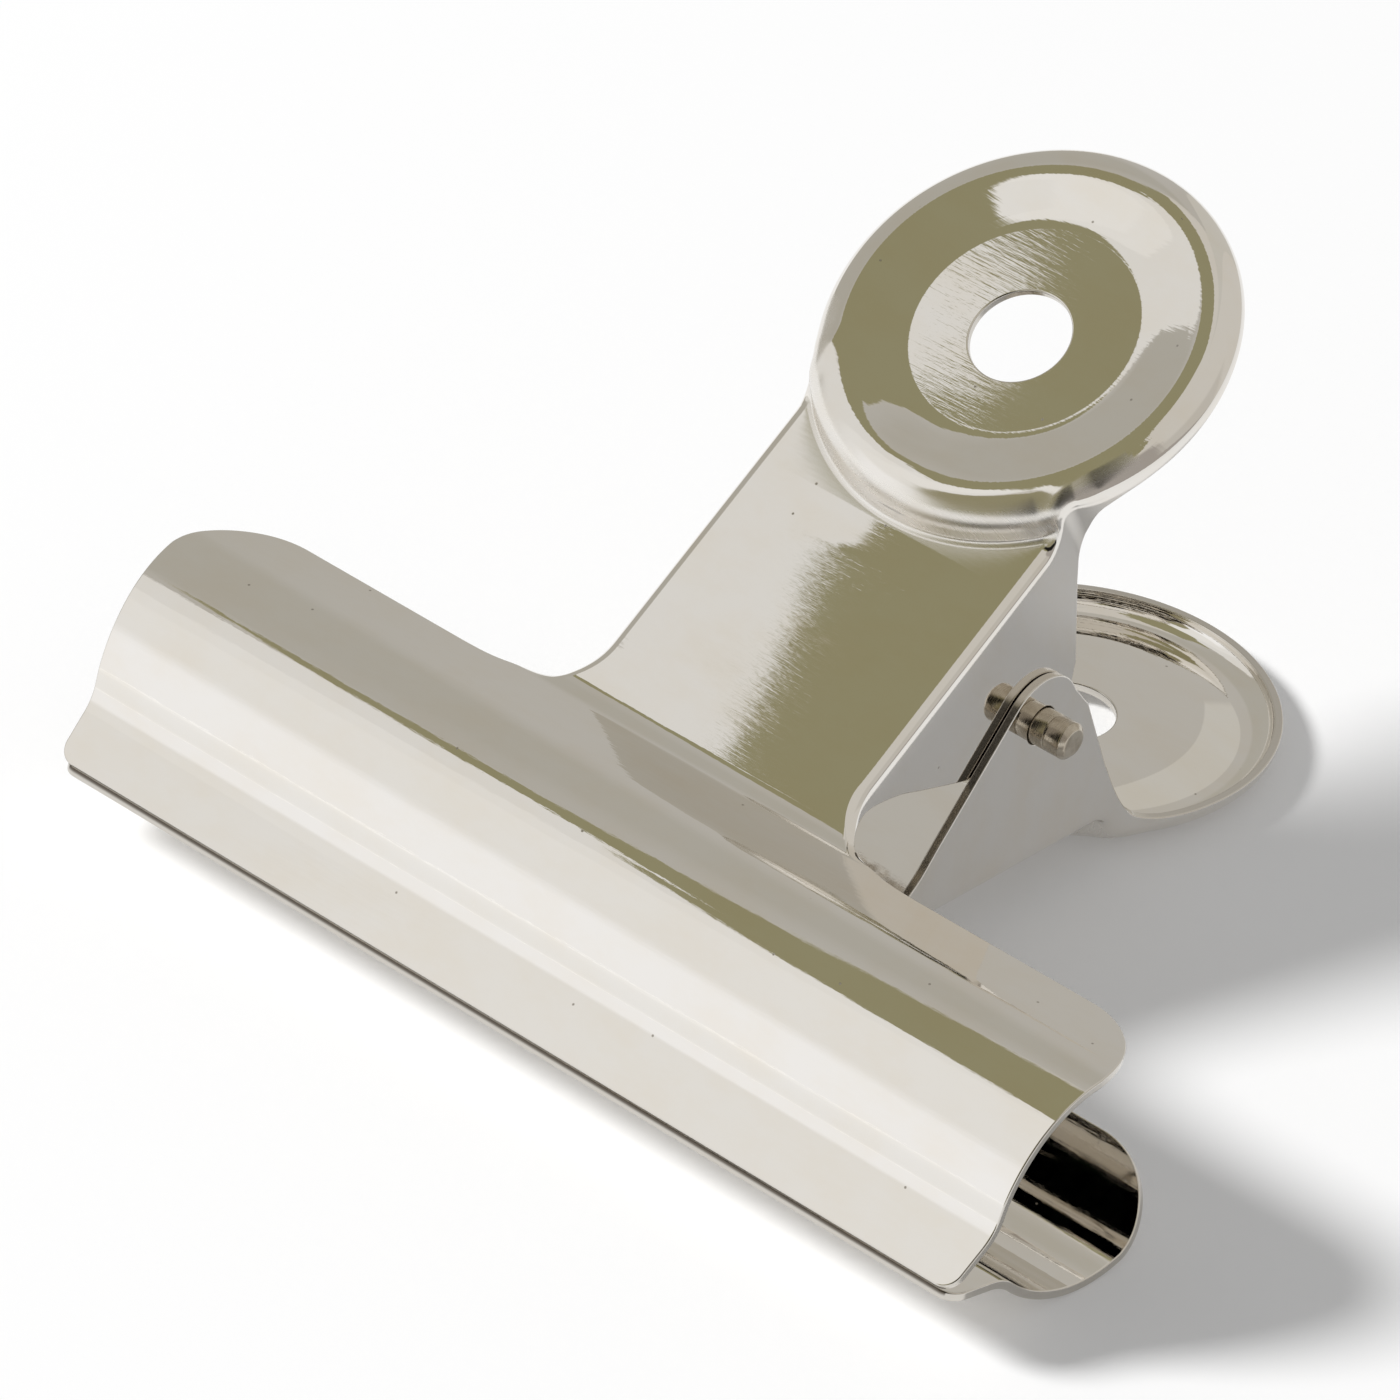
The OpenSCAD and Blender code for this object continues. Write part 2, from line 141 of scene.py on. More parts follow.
# The clip lies on its lower crown and its lower ring's roll, turned by this angle
span = ring_roll_c - crown_c
TILT = angle_of(span) + math.degrees(math.asin((ROLL_R - ARCH_CROWN_R) / np.linalg.norm(span)))
tilt_cos, tilt_sin = cos(TILT), sin(TILT)
REST_Z = ARCH_CROWN_R + crown_c[1] * tilt_cos - crown_c[0] * tilt_sin
front_end = lip_tip[0] * tilt_cos - lip_tip[1] * tilt_sin
back_end = ring_roll_c[0] * tilt_cos + ring_roll_c[1] * tilt_sin + ROLL_R
REST_Y = -(front_end + back_end) / 2


def arc(c, r, a0, a1):
    return c, r, a0, a1, abs(r) * rad(abs(a1 - a0))


# Pieces of the section: start or centre, radius (0 for a line), first and last direction, length
SECTION = [
    (lip_tip, 0.0, LIP_ANGLE, LIP_ANGLE, LIP_LEN),
    arc(lip_bend_c, -LIP_BEND_R, LIP_ANGLE, FACE_ANGLE),
    arc(front_c, ARCH_FRONT_R, FACE_ANGLE, CROWN_ANGLE),
    arc(crown_c, ARCH_CROWN_R, CROWN_ANGLE, -HEEL_ANGLE),
    (heel_start, 0.0, -HEEL_ANGLE, -HEEL_ANGLE, VALLEY_LEN - setback),
    arc(valley_c, -VALLEY_R, -HEEL_ANGLE, ARM_ANGLE),
    (arm_start, 0.0, ARM_ANGLE, ARM_ANGLE, 200.0),  # longer than the arm and the ring
]
STARTS = np.concatenate([[0], np.cumsum([p[4] for p in SECTION])])
S_HEEL, S_ARM = STARTS[4], STARTS[6]
T_RING = RING_REACH - setback
DELTA = rad(ARM_ANGLE - RING_ANGLE)
U0, A0 = RING_LIFT * math.sin(DELTA), -RING_LIFT * math.cos(DELTA)


def u_of_s(s):
    """Place along the ring's plane, from its centre, of a length along the section."""
    return (s - S_ARM - T_RING) * math.cos(DELTA) + U0


def s_of_u(u):
    return (u - U0) / math.cos(DELTA) + S_ARM + T_RING


def arm_depth(u):
    """Depth of the arm's plane under the ring's plane."""
    return -(A0 + (u - U0) * math.tan(DELTA))


def section(s):
    """Point and direction of the section at each length."""
    s = np.asarray(s, float)
    y, z, a = np.zeros(s.shape), np.zeros(s.shape), np.zeros(s.shape)
    for i, (p, r, a0, a1, length) in enumerate(SECTION):
        m = (s >= STARTS[i] if i else np.ones(s.shape, bool)) & (s < STARTS[i + 1])
        d = s[m] - STARTS[i]
        if r == 0:
            y[m] = p[0] + d * cos(a0)
            z[m] = p[1] + d * sin(a0)
            a[m] = rad(a0)
        else:
            b = rad(a0) + (rad(a1) - rad(a0)) * d / length
            y[m] = p[0] - r * np.sin(b)
            z[m] = p[1] + r * np.cos(b)
            a[m] = b
    return y, z, a


GRID_S = np.linspace(0, S_ARM + 2, 4000)
GRID_Y = section(GRID_S)[0]


def s_of_y(y):
    return np.interp(y, GRID_Y, GRID_S)


# Heights of the embossed ring and its neck
CREST_R = RING_R - RIM_W
neck_start = (CREST_R + NECK_R * sin(NECK_ANGLE), NECK_R * cos(NECK_ANGLE) - NECK_R)
neck_drop = RING_LIFT + (RING_R + ROLL_R) * math.sin(DELTA)
neck_wall = neck_drop + neck_start[1] - NECK_FOOT_R * (1 - cos(NECK_ANGLE))
neck_bend = neck_start[0] + neck_wall / tan(NECK_ANGLE)
neck_foot = neck_bend + NECK_FOOT_R * sin(NECK_ANGLE)
cone_top = (CREST_R - CREST_BEND_R * sin(DISH_ANGLE), CREST_BEND_R * cos(DISH_ANGLE) - CREST_BEND_R)
cone_rise = cone_top[1] + DISH_DEPTH - DISH_BEND_R * (1 - cos(DISH_ANGLE))
cone_start = (cone_top[0] - cone_rise / tan(DISH_ANGLE), cone_top[1] - cone_rise)
floor_r = cone_start[0] - DISH_BEND_R * sin(DISH_ANGLE)


def dish(r):
    """Height of the ring's top inside its crest, against the ring's plane."""
    h = np.full(r.shape, -DISH_DEPTH)
    m = (r > floor_r) & (r <= cone_start[0])
    h[m] = -DISH_DEPTH + DISH_BEND_R - np.sqrt(DISH_BEND_R**2 - (r[m] - floor_r) ** 2)
    m = (r > cone_start[0]) & (r <= cone_top[0])
    h[m] = cone_start[1] + (r[m] - cone_start[0]) * tan(DISH_ANGLE)
    m = r > cone_top[0]
    h[m] = np.sqrt(np.maximum(CREST_BEND_R**2 - (CREST_R - r[m]) ** 2, 0)) - CREST_BEND_R
    return h


def neck(r):
    """Share of the height that is left of the neck's sweep, 1 at the crest and 0 at its foot."""
    h = np.zeros(r.shape)
    m = (r > CREST_R) & (r <= neck_start[0])
    h[m] = np.sqrt(NECK_R**2 - (r[m] - CREST_R) ** 2) - NECK_R
    m = (r > neck_start[0]) & (r <= neck_bend)
    h[m] = neck_start[1] - (r[m] - neck_start[0]) * tan(NECK_ANGLE)
    m = (r > neck_bend) & (r <= neck_foot)
    curve = np.sqrt(np.maximum(NECK_FOOT_R**2 - (neck_foot - r[m]) ** 2, 0))
    h[m] = NECK_FOOT_R - neck_drop - curve
    m = r > neck_foot
    h[m] = -neck_drop
    return 1 + h / neck_drop


def rise(x, u):
    """Height of the top over the arm's plane."""
    r = np.hypot(x, u)
    d = arm_depth(u)
    angle = np.degrees(np.arctan2(np.abs(x), -u))
    start, end = (np.where(x >= 0, RIGHT_FADE[k], LEFT_FADE[k]) for k in (0, 1))
    out = d * (1 - (1 - neck(r)) * (1 - step(angle, start, end)))
    inner = r <= CREST_R
    out[inner] = d[inner] + dish(r[inner])
    return np.where(u < -neck_foot - 0.5, 0.0, out)  # flat in front of the neck's foot


def top_dir(s):
    """Direction of the section at each length, where the arm's turns into the ring's."""
    a = section(s)[2]
    t = s - S_ARM
    return a - DELTA * step(t, T_RING - TURN_FROM, T_RING - TURN_TO)


def place(x, s, h):
    """3D point over the section's line, with the slight swell before the root."""
    y, z, _ = section(s)
    a = top_dir(s)
    grow = step(s, S_ARM + SWELL_FROM, S_ARM + SWELL_TOP)
    h = h + ROOT_SWELL * grow * (1 - step(s, S_ARM + SWELL_TOP, S_ARM + SWELL_TO))
    return np.stack([x, y - h * np.sin(a), z + h * np.cos(a)], -1)


# Folds, and points of the flat blank: a across, s along
U_CUT = -9.3  # the ears' folds end here, and the ring's flange begins
S_CUT = float(s_of_u(U_CUT))


def arm_side(side):
    """Distance from the middle to the ear's outer face."""
    return ARM_RIGHT if side > 0 else ARM_LEFT


def fold_start(side, s):
    """Distance from the middle at which the fold begins; it flares where it runs out at the root."""
    base = np.where(side > 0, ARM_RIGHT, ARM_LEFT) - FOLD_R
    f = np.clip((FLARE_Y - section(s)[0]) / FLARE_RUN, 0, FLARE_LIMIT)
    return base + FLARE_SIZE * f**FLARE_POWER


def fold_angle(s):
    return rad(90) * step(section(s)[0], FOLD_FROM_Y, FOLD_FULL_Y)


def past_cut(s):
    return s > S_CUT + 1e-5


def blank_point(a, s):
    """3D point of the blank's point."""
    side = np.where(a >= 0, 1, -1)
    e = np.where(past_cut(s), 0, np.abs(a) - fold_start(side, s))
    phi = fold_angle(s)
    bend = np.clip(e, 0, FOLD_R * phi)
    theta = bend / FOLD_R
    rest = np.maximum(e - bend, 0)
    across = np.abs(a) - np.maximum(e, 0) + FOLD_R * np.sin(theta) + rest * np.cos(phi)
    drop = FOLD_R * (1 - np.cos(theta)) + rest * np.sin(phi)
    x = side * across
    return place(x, s, rise(x, u_of_s(s)) - drop)


def blank_normal(a, s, d=2e-3):
    """Normal at the blank's point. A step over the cut is taken on its own side."""
    pa = blank_point(a + d, s) - blank_point(a - d, s)
    over = past_cut(s)
    ahead = np.where(over, s + d, np.minimum(s + d, S_CUT))
    behind = np.where(over, np.maximum(s - d, S_CUT + 1e-7), s - d)
    return unit(np.cross(pa, blank_point(a, ahead) - blank_point(a, behind)))


# Edge of the ear's back and of the rim, as length along the ring's plane and height against it
EDGE_UH = np.array([
    (-11.9, -12.05), (-11.24, -10.55), (-10.2, -8.2), (-9.3, -6.15), (-8.7, -4.95), (-8.2, -4.08),
    (-7.75, -3.3), (-7.4, -2.72), (-7.0, -2.25), (-6.3, -1.92), (-5.5, -1.75), (-4.2, -1.66),
    (-2.0, -1.65), (30.0, -1.65)])
# Edge of the blank from the back of the jaw into the arm's root on the right, in plan
ROOT_XY = np.array([(24, back_edge[0]), (16.8, back_edge[0]), (14.7, back_edge[0] + 0.12), (13.1, 17.88),
                    (11.85, 18.36), (11.0, 18.95), (10.5, 19.85), (10.6, 20.95)])


def rim_edge(u):
    """Height of the rim's edge, a smooth curve through the points above."""
    x, y = EDGE_UH[:, 0], EDGE_UH[:, 1]
    m = np.gradient(y, x)
    m[-2:] = 0
    i = np.clip(np.searchsorted(x, u) - 1, 0, len(x) - 2)
    h = x[i + 1] - x[i]
    t = np.clip((u - x[i]) / h, 0, 1)
    return ((2 * t**3 - 3 * t**2 + 1) * y[i] + (t**3 - 2 * t**2 + t) * h * m[i]
            + (-2 * t**3 + 3 * t**2) * y[i + 1] + (t**3 - t**2) * h * m[i + 1])


def from_line(yz, s):
    """How far points lie ahead of the section's place at each length, and how deep below it."""
    y, z, _ = section(s)
    a = top_dir(s)
    ahead, over = yz[:, 0] - y, yz[:, 1] - z
    return ahead * np.cos(a) + over * np.sin(a), ahead * np.sin(a) - over * np.cos(a)


def flange_blank(side, yz):
    """Blank coordinates of a point on an ear's outer face, from its y and z."""
    yz = np.atleast_2d(yz)
    s = S_ARM + (yz - arm_start) @ polar(1, ARM_ANGLE)
    for _ in range(20):
        s = s + from_line(yz, s)[0]
    x = np.full(s.shape, arm_side(side)) * side
    wall = from_line(yz, s)[1] - FOLD_R + rise(x, u_of_s(s))
    across = fold_start(side, s) + FOLD_R * math.pi / 2 + wall
    return np.stack([across, s], -1)


def between(t, a, b, ta, tb):
    return (tb - t) / (tb - ta) * a + (t - ta) / (tb - ta) * b


def smooth(points, spacing=0.25):
    """Catmull-Rom curve through points."""
    p = np.array(points, float)
    out = []
    for i in range(1, len(p) - 2):
        p0, p1, p2, p3 = p[i - 1 : i + 3]
        n = max(2, int(np.linalg.norm(p2 - p1) / spacing))
        t0, t1, t2, t3 = np.cumsum([0] + [np.linalg.norm(d) ** 0.5 for d in (p1 - p0, p2 - p1, p3 - p2)])
        for k in range(n):
            t = t1 + (t2 - t1) * k / n
            middle = between(t, p1, p2, t1, t2)
            b1 = between(t, between(t, p0, p1, t0, t1), middle, t0, t2)
            b2 = between(t, middle, between(t, p2, p3, t2, t3), t1, t3)
            out.append(between(t, b1, b2, t1, t2))
    out.append(p[-2])
    return np.array(out)


def arc_points(c, r, a0, a1, n):
    return np.array([np.array(c) + polar(r, a0 + (a1 - a0) * k / n) for k in range(n + 1)])


def jaw_outline():
    """The jaw's edge on one side in plan, from the lip's middle to the back corner."""
    half, lip_x, y0 = JAW_W / 2, JAW_W / 2 - JAW_TAPER, lip_tip[0]
    taper_y = back_edge[0] - BACK_CORNER_R
    return np.concatenate([
        [[0, y0], [10, y0], [20, y0], [30, y0]],
        arc_points((lip_x - LIP_CORNER_R, y0 + LIP_CORNER_R), LIP_CORNER_R, -90, 0, 12),
        np.linspace((lip_x, y0 + LIP_CORNER_R), (half, taper_y), 40)[1:-1],
        arc_points((half - BACK_CORNER_R, taper_y), BACK_CORNER_R, 0, 90, 28)])


def half_outline(side):
    """The blank's edge on one side, from the lip's middle to the cut before the ring: across, along."""
    plan = jaw_outline()
    jaw = np.stack([plan[:, 0], s_of_y(plan[:, 1])], -1)
    shift = arm_side(side) - ARM_RIGHT
    root = np.stack([ROOT_XY[:, 0] + shift, s_of_y(ROOT_XY[:, 1])], -1)
    front_dir = 180 - EAR_FRONT
    touch = pin_c + EAR_TIP_R * normal(front_dir)
    front = [touch + polar(d, front_dir) for d in (11.4, 9, 6, 3)]
    curve = smooth(np.concatenate([root, flange_blank(side, front)[:3]]))
    u_edge = np.linspace(EDGE_UH[0, 0], U_CUT, 14)
    lift = np.outer(rim_edge(u_edge), normal(RING_ANGLE))
    back = ring_c + np.outer(u_edge, polar(1, RING_ANGLE)) + lift
    back_dir = angle_of(back[1] - back[0])
    tip = arc_points(pin_c, EAR_TIP_R, front_dir + 90, back_dir + 270, 30)
    low = flange_blank(side, np.concatenate([front[2:], tip, back]))
    low[-1, 1] = S_CUT
    return np.concatenate([jaw, curve, low[1:]])


def inset(line, d):
    """Moves an open line sideways by d to its left."""
    t = unit(np.gradient(line, axis=0))
    return line + d * np.stack([-t[:, 1], t[:, 0]], -1)


# The flange round the ring, as a strip
STRIP_STEP = 0.22
ROLL_STEPS, WALL_STEPS = 9, 6
LEVELS = np.concatenate([np.linspace(0, 1, ROLL_STEPS + 1), 1 + np.linspace(0, 1, WALL_STEPS + 1)[1:]])


def ring_path():
    """Plan of the outline from the right cut round the ring to the left cut, and the length at which each
    piece begins. A piece is a line's ends and outward angle, or an arc's centre and two angles."""
    r = RING_R + NECK_PLAN_R
    right_x, left_x = ARM_RIGHT + NECK_PLAN_R, -ARM_LEFT - NECK_PLAN_R
    right_c, left_c = (np.array([x, -math.sqrt(r**2 - x**2)]) for x in (right_x, left_x))
    right_a, left_a = math.atan2(*right_c[::-1]), math.atan2(*left_c[::-1]) + 2 * math.pi
    pieces = [
        ("line", np.array([ARM_RIGHT, U_CUT]), np.array([ARM_RIGHT, right_c[1]]), 0.0),
        ("fillet", right_c, 0.0, right_a),
        ("ring", None, right_a, left_a),
        ("fillet", left_c, left_a, math.pi),
        ("line", np.array([-ARM_LEFT, left_c[1]]), np.array([-ARM_LEFT, U_CUT]), math.pi)]
    lengths = []
    for kind, a, b, c in pieces:
        turn_r = RING_R if kind == "ring" else NECK_PLAN_R
        lengths.append(np.linalg.norm(b - a) if kind == "line" else abs(c - b) * turn_r)
    return pieces, np.concatenate([[0], np.cumsum(lengths)])


PATH, PATH_S = ring_path()


def path_at(q):
    """Point and outward angle of the outline at each length."""
    p, psi = np.zeros(q.shape + (2,)), np.zeros(q.shape)
    for i, (kind, a, b, c) in enumerate(PATH):
        m = (q >= PATH_S[i] if i else q < 1e9) & (q <= PATH_S[i + 1] if i < len(PATH) - 1 else q > -1e9)
        t = (q[m] - PATH_S[i]) / (PATH_S[i + 1] - PATH_S[i])
        if kind == "line":
            p[m] = a + np.outer(t, b - a)
            psi[m] = c
        else:
            angle = b + (c - b) * t
            way = np.stack([np.cos(angle), np.sin(angle)], -1)
            p[m] = RING_R * way if kind == "ring" else a - NECK_PLAN_R * way
            psi[m] = angle
    return p, psi


def roll_at(q):
    """Height and width of the roll along the outline, from the arm's fold to the ring's rim."""
    grow = step(q, 0.1, PATH_S[2] + 1.6) * (1 - step(q, PATH_S[3] - 1.6, PATH_S[5] - 0.1))
    return FOLD_R + (ROLL_R - FOLD_R) * grow, FOLD_R + (RIM_W - FOLD_R) * grow


def strip_point(q, f):
    """3D point of the strip: q along, f from 0 to 1 over the roll and from 1 to 2 down the wall."""
    p, psi = path_at(q)
    r, width = roll_at(q)
    theta = np.clip(f, 0, 1) * math.pi / 2
    way = np.stack([np.cos(psi), np.sin(psi)], -1)
    at = p - (width * (1 - np.sin(theta)))[..., None] * way
    h = rise(at[..., 0], at[..., 1]) - r * (1 - np.cos(theta))
    h_wall = rise(p[..., 0], p[..., 1]) - r
    h_edge = rim_edge(p[..., 1]) + arm_depth(p[..., 1]) + EDGE_R
    h = np.where(f > 1, h_wall + (f - 1) * (h_edge - h_wall), h)
    return place(at[..., 0], s_of_u(at[..., 1]), h), at, way


def strip_normal(q, f, d=1e-3):
    """Normal of the strip. A step past its end is left out."""
    pq = strip_point(q + d, f)[0] - strip_point(q - d, f)[0]
    low, high = np.where(f - d < 0, f, f - d), np.where(f + d > 2, f, f + d)
    return unit(np.cross(strip_point(q, high)[0] - strip_point(q, low)[0], pq))


# The outer surface as triangles
ROW_TURN, VALLEY_TURN = 2.5, 1.5  # degrees of bend between two rows of points
PAST_EARS = 30  # farther from the middle than any ear of the blank
NECK_SWEEP = 62  # degrees to each side of the arm's middle that the neck's rings cover
NECK_STEPS, NECK_FOOT_STEPS, NECK_COLUMNS = 13, 10, 84


def round_points(n):
    t = np.linspace(0, 2 * math.pi, n + 1)[:-1]
    return np.stack([np.cos(t), np.sin(t)], -1)


def inside(points, poly):
    """Which points lie inside a closed outline."""
    (x0, y0), (x1, y1) = poly.T, np.roll(poly, -1, 0).T
    height = np.where(y1 == y0, 1e-12, y1 - y0)
    out = []
    for k in range(0, len(points), 4000):
        x, y = points[k : k + 4000].T[:, :, None]
        cross = ((y0 > y) != (y1 > y)) & (x < (x1 - x0) * (y - y0) / height + x0)
        out.append(cross.sum(1) % 2 == 1)
    return np.concatenate(out)


def cut_points(side, q):
    """Blank points of the cut across one fold, from the fold's start down to the edge."""
    over = FOLD_R * math.pi / 2 * LEVELS[: ROLL_STEPS + 1] + arm_side(side) - FOLD_R
    p = path_at(np.array([q]))[0][0]
    wall = (rise(p[:1], p[1:]) - FOLD_R - (rim_edge(p[1:]) + arm_depth(p[1:]) + EDGE_R))[0]
    across = np.concatenate([over, over[-1] + wall * (LEVELS[ROLL_STEPS + 1 :] - 1)])
    return np.stack([side * across, np.full(across.shape, S_CUT)], -1)


def on_blank(p):
    """Blank coordinates of points over the ring's plane."""
    return np.stack([p[:, 0], s_of_u(p[:, 1])], -1)


def blank_outline():
    """The flat patch's boundary, its seam to the strip, the lengths along that seam and both cuts."""
    right = inset(half_outline(1), EDGE_R)
    left = half_outline(-1)
    left[:, 0] *= -1
    left = inset(left, -EDGE_R)
    right[0, 0] = left[0, 0] = 0
    cuts = cut_points(1, 0.0), cut_points(-1, PATH_S[-1])
    right[-1], left[-1] = cuts[0][-1], cuts[1][-1]
    qs = np.unique(np.concatenate([np.linspace(a, b, max(2, int((b - a) / STRIP_STEP) + 1))
                                   for a, b in zip(PATH_S[:-1], PATH_S[1:])]))
    seam = on_blank(strip_point(qs, np.zeros(qs.shape))[1])
    seam[0], seam[-1] = cuts[0][0], cuts[1][0]
    boundary = np.concatenate([right, cuts[0][-2:0:-1], seam, cuts[1][1:-1], left[::-1][:-1]])
    return boundary, seam, qs, cuts


def blank_holes():
    """Outlines of the hanging hole and the two pin holes."""
    holes = [on_blank((HOLE_R + EDGE_R) * round_points(96) - (0, HOLE_SHIFT))]
    for side in (1, -1):
        c = flange_blank(side, [pin_c])[0]
        holes.append((c + (PIN_HOLE_R + EDGE_R) * round_points(48)) * (side, 1))
    return holes


def guide_lines(boundary, holes):
    """Points and edges that the triangles keep to, close together where the sheet bends."""
    verts, edges = [], []

    def line(points, closed=False):
        k, n = len(verts), len(points)
        verts.extend(map(tuple, points))
        edges.extend((k + i, k + (i + 1) % n) for i in range(n if closed else n - 1))

    line(boundary, True)
    for hole in holes:
        line(hole, True)

    rows = [0.5, 1.5, 2.5]
    for i, fine in ((1, ROW_TURN), (2, ROW_TURN), (3, ROW_TURN), (5, VALLEY_TURN)):
        _p, _r, a0, a1, length = SECTION[i]
        n = int(math.ceil(abs(a1 - a0) / fine))
        rows += list(STARTS[i] + length * np.arange(n + 1) / n)
    rows += list(np.linspace(S_HEEL + 0.6, STARTS[5] - 0.01, 3))
    for s in rows:
        line([(-JAW_W, s), (JAW_W, s)])
    for s in np.arange(S_ARM + 0.25, S_ARM + 4, 0.25):
        line([(-PAST_EARS, s), (-5, s)])
        line([(5, s), (PAST_EARS, s)])
    rows = list(np.arange(S_ARM + T_RING - 15.4, S_CUT - 0.05, 0.35))
    rows += list(np.arange(S_ARM + 5, S_ARM + T_RING - 16, 1.5))
    for s in rows:
        line([(-PAST_EARS, s), (PAST_EARS, s)])
    for x in (*range(-32, -12, 4), *range(14, 34, 4)):
        line([(x, -1), (x, S_ARM - 1)])
    for x in (-6, -2, 2, 6):
        line([(x, -1), (x, S_ARM + 14)])

    along = np.concatenate([np.linspace(s_of_y(17.0), s_of_y(22.2), 22), [S_CUT]])
    for side in (1, -1):
        base = arm_side(side) - FOLD_R
        for k in range(ROLL_STEPS + 1):
            over = FOLD_R * rad(90) * k / ROLL_STEPS
            a = fold_start(side, along) + over
            a[-1] = base + over
            line(np.stack([side * a, along], -1))
        for a in np.arange(base - 1.2, base + 4.5, 0.3):
            line([(side * a, s_of_y(16.9)), (side * a, s_of_y(20.6))])

    radii = [4.4, 6.0, floor_r] + list(floor_r + (cone_start[0] - floor_r) * np.arange(1, 6) / 5)
    radii.append((cone_start[0] + cone_top[0]) / 2)
    radii += [CREST_R - CREST_BEND_R * sin(a) for a in (12, 10, 8, 6, 4, 2)]
    for r in radii:
        line(on_blank(r * round_points(144)), True)
    radii = [CREST_R + NECK_R * sin(NECK_ANGLE * k / NECK_STEPS) for k in range(1, NECK_STEPS + 1)]
    radii += [neck_foot - NECK_FOOT_R * sin(NECK_ANGLE * (1 - k / NECK_FOOT_STEPS))
              for k in range(NECK_FOOT_STEPS + 1)]
    t = np.radians(np.linspace(-90 - NECK_SWEEP, -90 + NECK_SWEEP, NECK_COLUMNS))
    for r in radii:
        ring = on_blank(r * np.stack([np.cos(t), np.sin(t)], -1))
        on_arm = (ring[:, 0] < ARM_RIGHT - FOLD_R - 0.03) & (ring[:, 0] > FOLD_R + 0.03 - ARM_LEFT)
        line(ring[(ring[:, 1] < S_CUT - 0.05) | on_arm])
    return verts, edges


def compact(f):
    """Numbers of the points in use, and the triangles by them."""
    used, inv = np.unique(f, return_inverse=True)
    return used, inv.reshape(f.shape)


def flat_patch(boundary, holes):
    """The blank inside its boundary and round its holes: points across and along, triangles."""
    verts, edges = guide_lines(boundary, holes)
    out = delaunay_2d_cdt([Vector(v) for v in verts], edges, [], 0, 1e-6)
    p = np.array([tuple(v) for v in out[0]])
    f = np.array([t for t in out[2] if len(t) == 3])
    middle = p[f].mean(1)
    keep = inside(middle, boundary)
    for hole in holes:
        keep &= ~inside(middle, hole)
    f = f[keep]
    area = np.cross(p[f[:, 1]] - p[f[:, 0]], p[f[:, 2]] - p[f[:, 0]])
    f, area = f[np.abs(area) > 1e-9], area[np.abs(area) > 1e-9]
    f[area < 0] = f[area < 0][:, ::-1]
    used, f = compact(f)
    return p[used], f


def lengths_on(line, lengths, points):
    """Length at which each point lies along a line."""
    a, b = line[:-1], line[1:]
    out = []
    for point in points:
        t = np.clip(((point - a) * (b - a)).sum(1) / ((b - a) ** 2).sum(1), 0, 1)
        i = int(np.argmin(((a + t[:, None] * (b - a) - point) ** 2).sum(1)))
        out.append(lengths[i] + t[i] * (lengths[i + 1] - lengths[i]))
    out[0], out[-1] = lengths[0], lengths[-1]
    return np.array(out)


def flange_strip(p, f, seam_line, lengths, cuts):
    """The strip, with columns that start at the patch's own points p along the seam."""

    def nearest(point):
        return int(np.argmin(((p - point) ** 2).sum(1)))

    border = max(loops_of(f), key=len)
    seam = np.roll(border, -int(np.where(border == nearest(seam_line[0]))[0][0]))
    seam = seam[: int(np.where(seam == nearest(seam_line[-1]))[0][0]) + 1]
    qs = lengths_on(seam_line, lengths, p[seam])
    count = len(LEVELS) - 1
    ids = np.arange(len(qs) * count).reshape(len(qs), count) + len(p)
    ids = np.concatenate([seam[:, None], ids], 1)
    for column, points in ((0, cuts[0]), (-1, cuts[1])):
        for level in range(1, len(LEVELS)):
            ids[column, level] = nearest(points[level])
    q, level = (x.ravel() for x in np.meshgrid(qs, LEVELS[1:], indexing="ij"))
    v, at, way = strip_point(q, level)
    down = np.clip(level, 0, 1) * math.pi / 2 * roll_at(q)[0]
    down += np.clip(level - 1, 0, 1) * 2
    uv = on_blank(at) + down[:, None] * way
    a, b, c, d = ids[:-1, :-1].ravel(), ids[1:, :-1].ravel(), ids[1:, 1:].ravel(), ids[:-1, 1:].ravel()
    return v, strip_normal(q, level), uv, np.concatenate([np.stack([a, d, b], -1), np.stack([b, d, c], -1)])


def turned(n, i, j, angle):
    """Normals turned by an angle from axis i towards axis j."""
    out = n.copy()
    out[:, i] = n[:, i] * np.cos(angle) - n[:, j] * np.sin(angle)
    out[:, j] = n[:, i] * np.sin(angle) + n[:, j] * np.cos(angle)
    return out


def lean(n, uv):
    """Turns the shading normals in the dish, in its wall at the lower left and on the heel, by as much as the
    photograph's reflections show. The points stay."""
    x, u, s = uv[:, 0], u_of_s(uv[:, 1]), uv[:, 1]
    r, around = np.hypot(x, u), np.degrees(np.arctan2(u, x))
    in_dish = 1 - step(r, CREST_R - 0.9, CREST_R)
    lower_left = step(around, -150, -126) * (1 - step(around, -105, -80))
    on_wall = step(r, floor_r + 0.6, floor_r + 1.8) * in_dish
    on_heel = step(s, S_HEEL - 2.5, S_HEEL + 0.8) * (1 - step(s, S_ARM - 2.2, S_ARM - 0.5))
    n = turned(n, 0, 2, rad(DISH_TURN) * on_wall * lower_left)
    return turned(n, 1, 2, rad(DISH_LEAN) * in_dish - rad(HEEL_LEAN) * on_heel)


def outer_surface():
    """The pressing's outer side: points, normals, blank coordinates, triangles."""
    boundary, seam_line, lengths, cuts = blank_outline()
    p, f = flat_patch(boundary, blank_holes())
    v2, n2, uv2, f2 = flange_strip(p, f, seam_line, lengths, cuts)
    v = np.concatenate([blank_point(p[:, 0], p[:, 1]), v2])
    n = np.concatenate([blank_normal(p[:, 0], p[:, 1]), n2])
    uv = np.concatenate([p, uv2])
    used, f = compact(np.concatenate([f, f2]))
    return v[used], lean(n[used], uv[used]), uv[used], f


